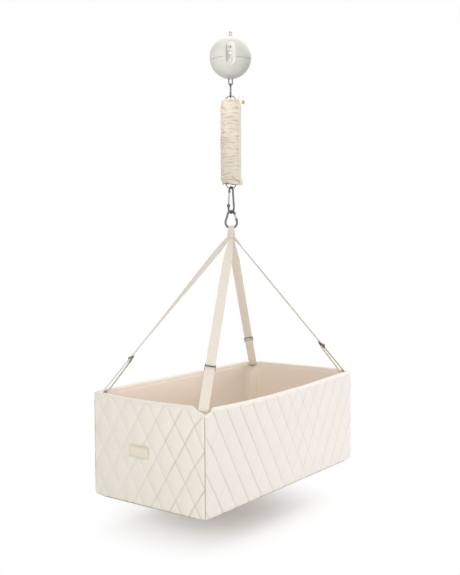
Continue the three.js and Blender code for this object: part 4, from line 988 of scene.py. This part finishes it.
# %% Sizes of the straps, and the run of each
frame_z, frame_inset, frame_cut = -1185.3, 9.3, 26.0
tube_radius, slack, strap_half, slide_bar, top_bar = 5, 0.3, 0.9, 1.5, 2.1
slide_up, slide_pitch = 142, 9
strap_rise, wrap = tube_radius + slack + strap_half, slide_bar + slack + strap_half
low_up, low_away = slide_up - slide_pitch, strap_rise - 3 * strap_half - 2 * slack - slide_bar
strap_width, bend_drop = 30, 9
corners = {  # the corner's signs, the strap's place in the head, and how it twists
    "front_left": (-1, -1, 0, -3.2, (70, 0)), "back_left": (-1, 1, -6.6, 0, (120, 0.5)),
    "front_right": (1, -1, 6.6, 0, (60, 0)), "back_right": (1, 1, 0, 3.2, (70, 0)),
}


def strap_run(sx, sy, u, v):
    """The corner bar's middle, the bend below the head, and the run's three directions."""
    inset = frame_inset + frame_cut / 2
    bar = Vector((sx * (basket_x - inset), sy * (basket_y - inset), frame_z))
    bar_along = Vector((-sy, sx, 0)).normalized()
    bend = column.to_3x3() @ Vector((u, v, head_foot - bend_drop))
    down = (bar - bend).normalized()
    for _ in range(3):
        side = (bar_along - down * bar_along.dot(down)).normalized()
        out = side.cross(down)
        if out.x * sx < 0:
            side, out = -side, -out
        down = (bar + out * strap_rise - bend).normalized()
    return bar, bend, down, side, out


print("rise over the bar", strap_rise, "away of the lowest slide bar", round(low_away, 2))


# %% Frames along a strap: centre, way across, width, way along
def run_frames(sx, sy, u, v, twist):
    """From the head down to the corner's bar."""
    bar, bend, down, side, out = strap_run(sx, sy, u, v)
    end_side = column.to_3x3() @ Vector((1, 0, 0))
    if end_side.dot(side) < 0:
        end_side = -end_side
    sewn = column.to_3x3() @ Vector((u, v, head_foot))
    lower = bend + down * bend_drop
    turned_by, held = twist
    frames = []

    def add(centre, along, s):
        width = 12 + (strap_width - 12) * smooth(-10, 130, s)
        turn = (1 - held) * smooth(0, turned_by, s) + held * smooth(60, 530, s)
        across = (end_side * (1 - turn) + side * turn).normalized()
        across = (across - along * across.dot(along)).normalized()
        frames.append((centre, across, width, along))

    add(sewn + Vector((0, 0, 13)), Vector((0, 0, -1)), 0)
    for i in range(9):
        t = i / 8
        centre = sewn.lerp(bend, t).lerp(bend.lerp(lower, t), t)
        add(centre, ((bend - sewn) * (1 - t) + (lower - bend) * t).normalized(), t * 2 * bend_drop)
    run_length = (bar + out * strap_rise - lower).dot(down)
    for i in range(1, 71):
        s = run_length * i / 70
        add(lower + down * s, down, s + 2 * bend_drop)
    return frames


def bar_frames(bar, down, side, out):
    """Half a turn round the corner's bar."""
    frames = []
    for i in range(1, 19):
        angle = i / 18 * math.pi
        centre = bar + down * (3.4 + strap_rise * math.sin(angle)) + out * strap_rise * math.cos(angle)
        along = (down * math.cos(angle) - out * math.sin(angle)).normalized()
        frames.append((centre, side, strap_width, along))
    return frames


def back_frames(bar, down, side, out):
    """Back up inside, and round the slide's lowest bar."""
    def at(up, away):
        return bar - down * up + out * away

    start, stop = at(-3.4, -strap_rise), at(low_up - 6, low_away - wrap)
    way = (stop - start).normalized()
    frames = [(start.lerp(stop, i / 16), side, strap_width, way) for i in range(1, 17)]
    for i in range(13):
        angle = i / 12 * math.pi
        centre = at(low_up + wrap * math.sin(angle), low_away - wrap * math.cos(angle))
        along = (out * math.sin(angle) - down * math.cos(angle)).normalized()
        frames.append((centre, side, strap_width, along))
    return frames + [(at(low_up - i, low_away + wrap), side, strap_width, down) for i in (2, 4, 6, 8)]


def ribbon(name, frames, body, nodes):
    """A strip of webbing along frames, with soft selvedges."""
    rows = len(frames) - 1

    def place(a, b):
        centre, across, width, along = frames[round(b * rows)]
        ripple = noise.noise(Vector((centre.z * 0.02, a * 2, centre.x * 0.01))) * 0.2
        curl = 0.1 * (abs(a - 0.5) * 2) ** 4 + (ripple if rows > 60 else 0)
        return (centre + across * (a - 0.5) * width + across.cross(along) * curl) * mm

    piece = finish(sheet_of(10, rows, place, None, (0.03, 0.5)), name, webbing, None, nodes)
    thicken(piece, 1.7, 0, edge=0.4)
    piece.data.shade_smooth()
    if body:
        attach(piece, body)
    return piece


print("strap frames ready")


# %% Four straps and their slides
def slide_shape(bar, down, side, out):
    """Three bars between two side plates, with rounded edges."""
    over, under = strap_rise + strap_half + slack + top_bar, strap_rise - strap_half - slack - slide_bar
    bars = [(low_up, low_away), (slide_up, over), (slide_up + slide_pitch, under)]
    place = Matrix.Translation(bar * mm) @ Matrix((-down, out, side)).transposed().to_4x4()
    shape = bmesh.new()
    for (up, away), radius in zip(bars, (slide_bar, top_bar, slide_bar)):
        add_rod(shape, radius, -16.5, 16.5, place @ Matrix.Translation((up * mm, away * mm, 0)), 20, 0.4)
    plate = [(0, -1, -1), (0, -1, 1), (1, -1, 1), (1, 1, 1), (2, 1, 1), (2, 1, -1)]
    plate = [(bars[i][0] + x * slide_bar, bars[i][1] + y * slide_bar) for i, x, y in plate]
    for low in (-17, 15.5):
        before = set(shape.verts)
        face = shape.faces.new([shape.verts.new(Vector((x, y, low)) * mm) for x, y in plate])
        made = bmesh.ops.extrude_face_region(shape, geom=[face])["geom"]
        lifted = [g for g in made if isinstance(g, bmesh.types.BMVert)]
        bmesh.ops.translate(shape, verts=lifted, vec=(0, 0, 1.5 * mm))
        bevel(shape, list({e for v in shape.verts if v not in before for e in v.link_edges}), 0.5, 2)
        fresh = [v for v in shape.verts if v not in before]
        bmesh.ops.transform(shape, matrix=place, verts=fresh)
    return shape


for name, (*corner, twist) in corners.items():
    bar, bend, down, side, out = strap_run(*corner)
    half_turn = bar_frames(bar, down, side, out)
    ribbon(f"{name}_strap", run_frames(*corner, twist) + half_turn[:9], "cradle", [f"strap_{name}"])
    loop = half_turn[8:] + back_frames(bar, down, side, out)
    back = ribbon(f"{name}_strap_loop", loop, None, [f"strap_{name}"])
    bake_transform(back)
    slide = slide_shape(bar, down, side, out)
    finish(slide, f"{name}_slide", steel, f"slide_{name}", [f"slide_{name}"])
print("straps done")

# %% [markdown]
# The rim has a steel tube inside. Only short pieces of it show in the corner dips, but it
# is one tube with two bends at each corner, so it is grown the same way as the hooks. It
# sags a little with the cloth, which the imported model's straight tube doesn't.

# %% The rim's tube
def sag(quarter, x, y):
    """How far the rim hangs below its level, in mm: most at the front, and a little at the left."""
    if quarter == 0:
        share = min(max((x + basket_x) / (2 * basket_x), 0.0), 1.0)
        return 18 * math.sin(math.pi * share**0.75) ** 0.6
    if quarter == 3:
        share = min(max((y + basket_y) / (2 * basket_y), 0.0), 1.0)
        return 8 * math.sin(math.pi * share) ** 0.7
    return 0.0


tube_x, tube_y = basket_x - frame_inset, basket_y - frame_inset
bend_radius, run_steps = 12.0, 12
trim = bend_radius * math.tan(math.pi / 8)
long_run, short_run = tube_x - frame_cut - trim, 2 * (tube_y - frame_cut - trim)
cross_run = frame_cut * math.sqrt(2) - 2 * trim
tube = Wire(tube_radius * mm, level(0, frame_z, -tube_y), (1, 0, 0), 20)
for quarter in range(4):
    for _ in range(run_steps):
        tube.run((short_run if quarter % 2 else long_run) / run_steps * mm)
    for half in range(2):
        position = sum((v.co for e in tube.ring for v in e.verts), Vector()) / (2 * len(tube.ring))
        inward = Matrix.Rotation(math.pi / 2, 3, "Z") @ tube.heading
        tube.bend(position + inward * bend_radius * mm, (0, 0, 1), math.pi / 4, 6)
        if half == 0:
            tube.run(cross_run * mm)
    if quarter == 1:
        tube.run(long_run * mm)
for _ in range(run_steps):
    tube.run(long_run / run_steps * mm)
for vert in tube.shape.verts:
    x, y = vert.co.x / mm, vert.co.y / mm
    if y < -(tube_y - 6):
        vert.co.z -= sag(0, x, y) * mm
    elif x < -(tube_x - 6):
        vert.co.z -= sag(3, x, y) * mm
finish(tube.closed(), "rim_tube", tube_paint, "cradle", ["rim_frame"])
print("rim tube done")

# %% [markdown]
# The outer cover is quilted: two layers of cotton with wadding between, stitched through
# on the slant into tall diamonds. Each diamond swells, and the cloth draws in at the
# stitching with small puckers. The panels' top edge dips at the corners for the straps.

# %% Shape of a diamond and of the corner dips
dip_depths, dip_half = (20.0, 5.0, 10.0, 1.0), 43
diamond_height, panel_height, crossing = 116, 324, 52.2  # the seams cross that far below the top
draw_in, draw_height = 7.0, 18.0


def dip(along, corner):
    """How far the rim lies below its level, at a distance from one of the corners in mm."""
    share = min(along / dip_half, 1)
    return dip_depths[corner % 4] * (1 - share**2) ** 1.5


def corner_draw(height):
    """How far a corner draws in, at a height above the underside in mm."""
    share = 1 - min(max(height / draw_height, 0), 1)
    return draw_in * (1 - math.sqrt(1 - share**2))


def quilting(x, z, seed, falling, rising):
    """Swell of the quilting from 0 on a seam to 1, with x and z counted in half diamonds."""
    p, q = (x + z) * 0.5, (x - z) * 0.5
    near_p = 1 - falling * (1 - abs(math.sin(math.pi * p)))
    near_q = 1 - rising * (1 - abs(math.sin(math.pi * q)))
    swell = (near_p * near_q) ** 0.6
    pucker = noise.noise(Vector((x * 1.1, z * 5.5, seed))) * (1 - swell) * 0.22
    crease = noise.noise(Vector((x * 0.8 + 3, z * 3.2, seed + 5))) * 0.2
    gathered = noise.noise(Vector((x * 5.5, z * 0.4, seed + 9))) * 0.3 * smooth(5.2, 5.9, z)
    return min(max(swell + pucker + crease * swell + gathered, 0.0), 1.15)


def quilted_panel(name, node_name, quarter, seed):
    """One side of the cover, made facing the front and turned a quarter at a time."""
    long_side = quarter % 2 == 0
    half_length, reach, across_count = (basket_x, basket_y, 13) if long_side else (basket_y, basket_x, 6)
    material, puff, shift = (long_quilt, 5.2, -0.87) if long_side else (short_quilt, 4.2, 0)
    foot, top, half = underside + 0.2, rim_height - 3.0, half_length - 1.2
    map_foot = 5 - (panel_height - crossing) / (diamond_height / 2)

    def depth(a, b):
        falling = 1 - 0.7 * smooth(0.3, 0.75, a) if long_side else 1
        rising = 0.35 + 0.5 * smooth(0.35, 0.8, a) if long_side else 1
        along, up = a * across_count * 2 + shift, map_foot + b * 2 * panel_height / diamond_height
        return quilting(along, up, seed, falling, rising)

    def place(a, b):
        x, height = (a * 2 - 1) * half, b * panel_height
        from_end, below = half - abs(x), panel_height - height
        edge = smooth(0, 9, from_end) * smooth(0, 7, height) * smooth(0, 8, below)
        roll = 2.4 * (1 - min(from_end / 6, 1)) ** 2 + 3.0 * (1 - min(height / 6, 1)) ** 2
        roll += 2.5 * (1 - min(below / 6, 1)) ** 2
        swell = puff * depth(a, b) * (0.25 + 0.75 * edge) - 1.2
        draw = corner_draw(height) * (1 - min(from_end / 40, 1)) ** 2
        hang = dip(from_end, quarter if x < 0 else quarter + 1) + sag(quarter, x, -x)
        z = foot + (top - hang - foot) * b
        return Vector((x - math.copysign(draw, x), -(reach - 0.2 - roll - draw + swell), z)) * mm

    count = ((across_count * 24, 108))
    diamonds = (across_count, panel_height / diamond_height)
    shape = sheet_of(*count, place, depth, diamonds, start=(shift / 2, map_foot / 2))
    turn = Matrix.Rotation(quarter * math.pi / 2, 4, "Z")
    piece = finish(shape, name, material, "cradle", [node_name], turn, out=False)
    thicken(piece, 1.6)
    return piece


panels = [
    quilted_panel(f"quilted_{side}", f"{side}_panel", quarter, quarter + 1)
    for quarter, side in enumerate(("front", "right", "back", "left"))
]
print("panel points", [len(p.data.vertices) for p in panels])

# %% [markdown]
# Down each corner the two panels are sewn together over a thin welt, whose darker cotton is painted
# shade in the seam. It starts as a circle and is extruded in short steps, each moved a little, so
# that it isn't ruler-straight.

# %% Corner welts
welt_inset, welt_foot, welt_step = 2.6, 3.5, 9.98
for name, (sx, sy, *_) in corners.items():
    inset = welt_inset + corner_draw(welt_foot)
    start = Vector((sx * (basket_x - inset), sy * (basket_y - inset), underside + welt_foot))
    welt = Wire(1.5 * mm, start * mm, (0, 0, 1), 12)
    for step in range(30):
        welt.run(welt_step * mm)
        height = welt_foot + step * welt_step
        out = corner_draw(height) - corner_draw(height + welt_step)
        drift = noise.noise(Vector((step * 0.31, sx * 3, sy * 5))) * 0.2
        way = Vector(((drift + sx * out) * mm, (drift + sy * out) * mm, 0))
        bmesh.ops.translate(welt.shape, verts=welt.points(), vec=way)
    finish(welt.closed(), f"{name}_welt", seam_shade_cotton, "cradle", [f"corner_strip_{name}"])
print("welts", len(corners))

# %% [markdown]
# The rim is bound with a folded strip of cotton that rolls over the wall and dips in a
# smooth U at each corner. Its path runs once round the basket, and its section rolls from
# the outside, over the top, to the inside.

# %% Path round the rim
def rim_path(a, inset, corner=9.0, cut=2.7):
    """A point round the basket, the way in, the distance to a corner, and how far the rim dips."""
    x_half, y_half = basket_x - inset, basket_y - inset
    lengths = [2 * x_half, 2 * y_half] * 2
    s, turn = (a % 1) * sum(lengths), 0
    while s > lengths[turn]:
        s -= lengths[turn]
        turn += 1
    length = lengths[turn]
    near = min(s, length - s)
    start_x, start_y, way_x, way_y = [(-1, -1, 1, 0), (1, -1, 0, 1), (1, 1, -1, 0), (-1, 1, 0, -1)][turn]
    point = Vector((start_x * x_half, start_y * y_half, 0)) + Vector((way_x, way_y, 0)) * s
    inward = Matrix.Rotation(math.pi / 2, 3, "Z") @ Vector((way_x, way_y, 0))
    if near < corner:
        point = point + inward * (cut * (1 - near / corner) ** 2)
    hang = dip(near, turn if s < length / 2 else turn + 1) + sag(turn, point.x, point.y)
    return point, inward, near, hang


print("the rim dips", [round(rim_path(a, 0)[3], 1) for a in (0, 0.15, 0.5)], "mm at three places")

# %% Rim binding
section = [
    (0.9, -14), (0.4, -11), (0.2, -8), (0.5, -5), (1.6, -2.6), (3.6, -0.9), (6.4, -0.1), (9, 0),
    (11.4, -0.2), (13.6, -1.0), (15.6, -2.6), (16.6, -5), (17.0, -8), (17.0, -11), (16.6, -15),
]


def rim_point(a, b):
    inset, drop = section[round(b * (len(section) - 1))]
    point, _, _, hang = rim_path(a, inset)
    wave = noise.noise(Vector((point.x * 0.012, point.y * 0.012, 2))) * 1.1
    return Vector((point.x, point.y, rim_height + drop - hang - 0.4 + min(wave, 0.3))) * mm


rim = finish(
    sheet_of(640, len(section) - 1, rim_point, None, (2.6, 0.04), closed=True),
    "rolled_rim", edge_cotton, None, ["rim_binding"],
)
rim.data.materials.append(lining_cotton)
for polygon in rim.data.polygons:
    x, y = abs(polygon.center.x) / mm, abs(polygon.center.y) / mm
    if min(basket_x - x, basket_y - y) > 7:
        polygon.material_index = 1
thicken(rim, 0.8)
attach(rim, "cradle")
print("rim faces", len(rim.data.polygons))

# %% [markdown]
# The lining is a plain tan cotton tub. Its walls hang almost flat from the rim, with two
# upright creases and soft pleats where the cloth turns each corner.

# %% Lining and wall foam
def lining_point(a, b):
    top, foot = rim_height - 12, -1499.0
    point, inward, near, hang = rim_path(a, 17.4, 60, 34 - 29 * smooth(0.84, 1, b) + 6 * b)
    pleat = bell(near, 15, 6) * 8.0 * (1 - smooth(0.9, 1, b)) + bell(near, 76, 14) * 1.8 * smooth(0, 0.8, b)
    loose = noise.noise(Vector((point.x * 0.006, point.y * 0.006, b * 1.7))) * 1.5 + 0.6
    point = point + inward * (pleat * smooth(0, 20, near) + max(loose, 0) * math.sin(math.pi * b))
    return Vector((point.x, point.y, foot + (top - foot) * b - hang * smooth(0.75, 1, b))) * mm


def lining_depth(a, b):
    """Low in the two upright creases of each corner, which the finish darkens with painted shade."""
    return 1 - 0.85 * bell(rim_path(a, 17.4)[2], 5, 3) * (1 - smooth(0.92, 1, b))


lining_shape = sheet_of(760, 40, lining_point, lining_depth, (2.5, 0.3), closed=True)
lining_area = sum(face.calc_area() for face in lining_shape.faces)
lining = finish(lining_shape, "tan_lining", lining_cotton, None, ["lining"], out=False)
first = lining.data.polygons[0]
if first.normal.dot(first.center) > 0:
    lining.data.flip_normals()
thicken(lining, 1.2)
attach(lining, "cradle")

wall_core = bmesh.new()
for sx, sy, half_x, half_y in ((0, -1, 423, 5), (0, 1, 423, 5), (-1, 0, 5, 209.5), (1, 0, 5, 209.5)):
    x, y = sx * (basket_x - 9.6), sy * (basket_y - 9.6)
    add_block(wall_core, (x - half_x, y - half_y, -1499.2), (x + half_x, y + half_y, -1202), 2)
foam_piece = finish(wall_core, "foam_walls", foam, "cradle", ["wall_foam"])
print("lining area", round(lining_area, 3))

# %% [markdown]
# The base is a sewn cotton panel with round corners, flat because a birch board lies on it. Its dark cotton
# is painted shade along the bottom edge.

# %% Base panel and its board
def round_corners(shape, radius, edge=1.0, segments=2):
    """Rounds a block's upright edges, and then softens its long ones."""
    def upright(e):
        way = e.verts[0].co - e.verts[1].co
        return abs(way.x) + abs(way.y) < 1e-6

    bevel(shape, [e for e in shape.edges if upright(e)], radius, 8)
    bevel(shape, [e for e in shape.edges if e.calc_face_angle(0) > 1.2], edge, segments)
    return shape


base = add_block(bmesh.new(), (-434.4, -224.4, -1507.9), (434.4, 224.4, -1505.1))
finish(round_corners(base, 50), "sewn_base", seam_shade_cotton, "cradle", ["base_panel"])
board = add_block(bmesh.new(), (-430.7, -220.7, -1504.7), (430.7, 220.7, -1499.8))
finish(round_corners(board, 46), "birch_board", birch, "cradle", ["floor_board"])
print("base and board done")

# %% [markdown]
# The mattress is a loose pad. It starts as a rounded block, is remeshed so that its points
# are even, and is blown up by a short cloth simulation whose result is written into the
# mesh. Points that would move too far are held back, because the pad has to fit its bed.

# %% Mattress
farthest, bed = 5 * mm, -1499.2 * mm
pad = round_corners(add_block(bmesh.new(), (-409, -199, -1498.6), (409, 199, -1454.5)), 66, 9, 3)
mattress = finish(pad, "padded_mattress", edge_cotton, None)
add_modifier(mattress, "REMESH", mode="VOXEL", voxel_size=0.011)
settle(mattress)
start = [v.co.copy() for v in mattress.data.vertices]
pressed = add_modifier(mattress, "CLOTH")
pressed.settings.use_pressure = True
pressed.settings.uniform_pressure_force = 3.0
pressed.settings.effector_weights.gravity = 0
pressed.point_cache.frame_end = 16
for number in range(1, 17):
    scene.frame_set(number)
settle(mattress)
scene.frame_set(1)
for vert, from_co in zip(mattress.data.vertices, start):
    move = vert.co - from_co
    if move.length > farthest:
        vert.co = from_co + move * (farthest / move.length)
    vert.co.z = max(vert.co.z, bed)
mattress.data.materials.clear()
mattress.data.materials.append(edge_cotton)
mattress.data.shade_smooth()
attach(mattress, "mattress")
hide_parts("mattress")
print("mattress points", len(mattress.data.vertices))

# %% [markdown]
# A small bare patch is sewn to the left end. It is a rounded sheet with a turned-in edge
# and two lines of stitching just inside it, and it carries no words.

# %% Label patch
label_y, label_z = 41, 18.5  # half its width and height, in mm


def label_edge(a, b):
    """Place across and up the patch, and the distance to its nearest edge, in mm."""
    y, z = (a - 0.5) * 2 * label_y, (b - 0.5) * 2 * label_z
    return y, z, min(label_y - abs(y), label_z - abs(z))


def label_stitch(edge):
    return max(bell(edge, row, 0.6) for row in (2.4, 5.2))


def label_point(a, b):
    y, z, edge = label_edge(a, b)
    roll = -0.8 * (1 - smooth(0, 1.4, edge)) - 0.3 * label_stitch(edge)
    return Vector((-(basket_x + 4.5 + roll), y + 29.5, z - 1342)) * mm


# The stitch rows are darkened through the depth: partly the stitching's own line, partly painted shade in
# its groove.
def label_depth(a, b):
    return 1 - 0.6 * label_stitch(label_edge(a, b)[2])


label_cotton = cloth(
    "label_patch_cloth", (0.86, 0.78, 0.655), (0.80, 0.71, 0.56), 900, 0.3, (0.56, 0.43, 0.28), 1.1)
label_shape = sheet_of(108, 50, label_point, label_depth)
label = finish(label_shape, "bare_label_patch", label_cotton, None, ["label_patch"], out=False)
if label.data.polygons[0].normal.x > 0:
    label.data.flip_normals()
thicken(label, 1.0)
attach(label, "cradle")
print("label faces", len(label.data.polygons))

# %% [markdown]
# The room is a pale floor just below the basket and a white surround. The floor keeps the
# soft shadow. The camera alone sees it lifted by a faint glow, and fading to plain white
# within half a metre of a point just left of the basket's middle, so that no horizon shows.
# That fade also trims the shadow to a soft blob that is lightest on the right: painted light.

# %% Floor
def seen_by_camera(net):
    """1 for the rays that the picture is made of, and 0 for those that only carry light."""
    rays = net.add("LightPath").outputs
    seen = net.calc("MAXIMUM", rays["Is Camera Ray"], rays["Is Glossy Ray"])
    return net.calc("MAXIMUM", seen, rays["Is Transmission Ray"])


floor_z = underside * mm - 0.11
floor_shape = bmesh.new()
bmesh.ops.create_grid(
    floor_shape, x_segments=2, y_segments=2, size=14, matrix=Matrix.Translation((0, 0, floor_z)),
)
floor_paint = bpy.data.materials.new("pale_floor")
floor_paint.use_nodes = True
net, shader = Net(floor_paint.node_tree), floor_paint.node_tree.nodes["Principled BSDF"]
shader.inputs["Base Color"].default_value = (0.8, 0.8, 0.8, 1)
shader.inputs["Roughness"].default_value = 0.9
shader.inputs["Specular IOR Level"].default_value = 0.0
ends = {0: net.on_object(), 1: (-0.07, 0, floor_z)}
distance = net.add("VectorMath", ends, operation="DISTANCE").outputs["Value"]
# painted light: past this fade the floor is plain white, which trims the shadow round a point left of the
# middle
far = net.ramp(distance, 0.05, 0.5, 0.0, 1.0, soft=True)
white, glow = (
    net.add("Emission", {"Color": (1, 1, 1, 1), "Strength": strength}).outputs[0]
    for strength in (1.0, 0.25)
)
lifted = net.add("AddShader", {0: shader.outputs[0], 1: glow}).outputs[0]
faded = net.add("MixShader", {0: far, 1: lifted, 2: white}).outputs[0]
seen_floor = net.add("MixShader", {0: seen_by_camera(net), 1: shader.outputs[0], 2: faded}).outputs[0]
net.feed(floor_paint.node_tree.nodes["Material Output"].inputs["Surface"], seen_floor)
floor = finish(floor_shape, "pale_floor", floor_paint, None, out=False)
print("floor at", round(floor_z, 3))

# %% World and lamps
world = bpy.data.worlds.new("white_surround")
scene.world = world
world.use_nodes = True
net, background = Net(world.node_tree), world.node_tree.nodes["Background"].inputs
background["Color"].default_value = (1, 1, 1, 1)
net.feed(background["Strength"], net.plus(0.42, net.times(seen_by_camera(net), 0.58)))


def lamp(name, place, target, size, power, spread=180):
    """A square area lamp that faces a target."""
    data = bpy.data.lights.new(name, "AREA")
    data.size = size
    data.energy = power
    data.spread = math.radians(spread)
    made = bpy.data.objects.new(name, data)
    scene.collection.objects.link(made)
    made.location = place
    made.rotation_euler = (Vector(target) - Vector(place)).to_track_quat("-Z", "Y").to_euler()


middle, low_middle = (0, 0, -1.0), (0, 0, -1.34)
lamp("key_lamp", (2.1, -3.4, -0.95), low_middle, 1.3, 5.1, 50)
lamp("fill_lamp", (-2.5, -1.1, -0.4), middle, 1.8, 32)
lamp("ball_lamp", (-1.25, -0.24, -0.05), (0, 0, ball_z), 0.3, 0.4, 36)
lamp("top_lamp", (1.15, 0.1, 1.25), low_middle, 3.0, 64)
print("lamps", len(bpy.data.lights))
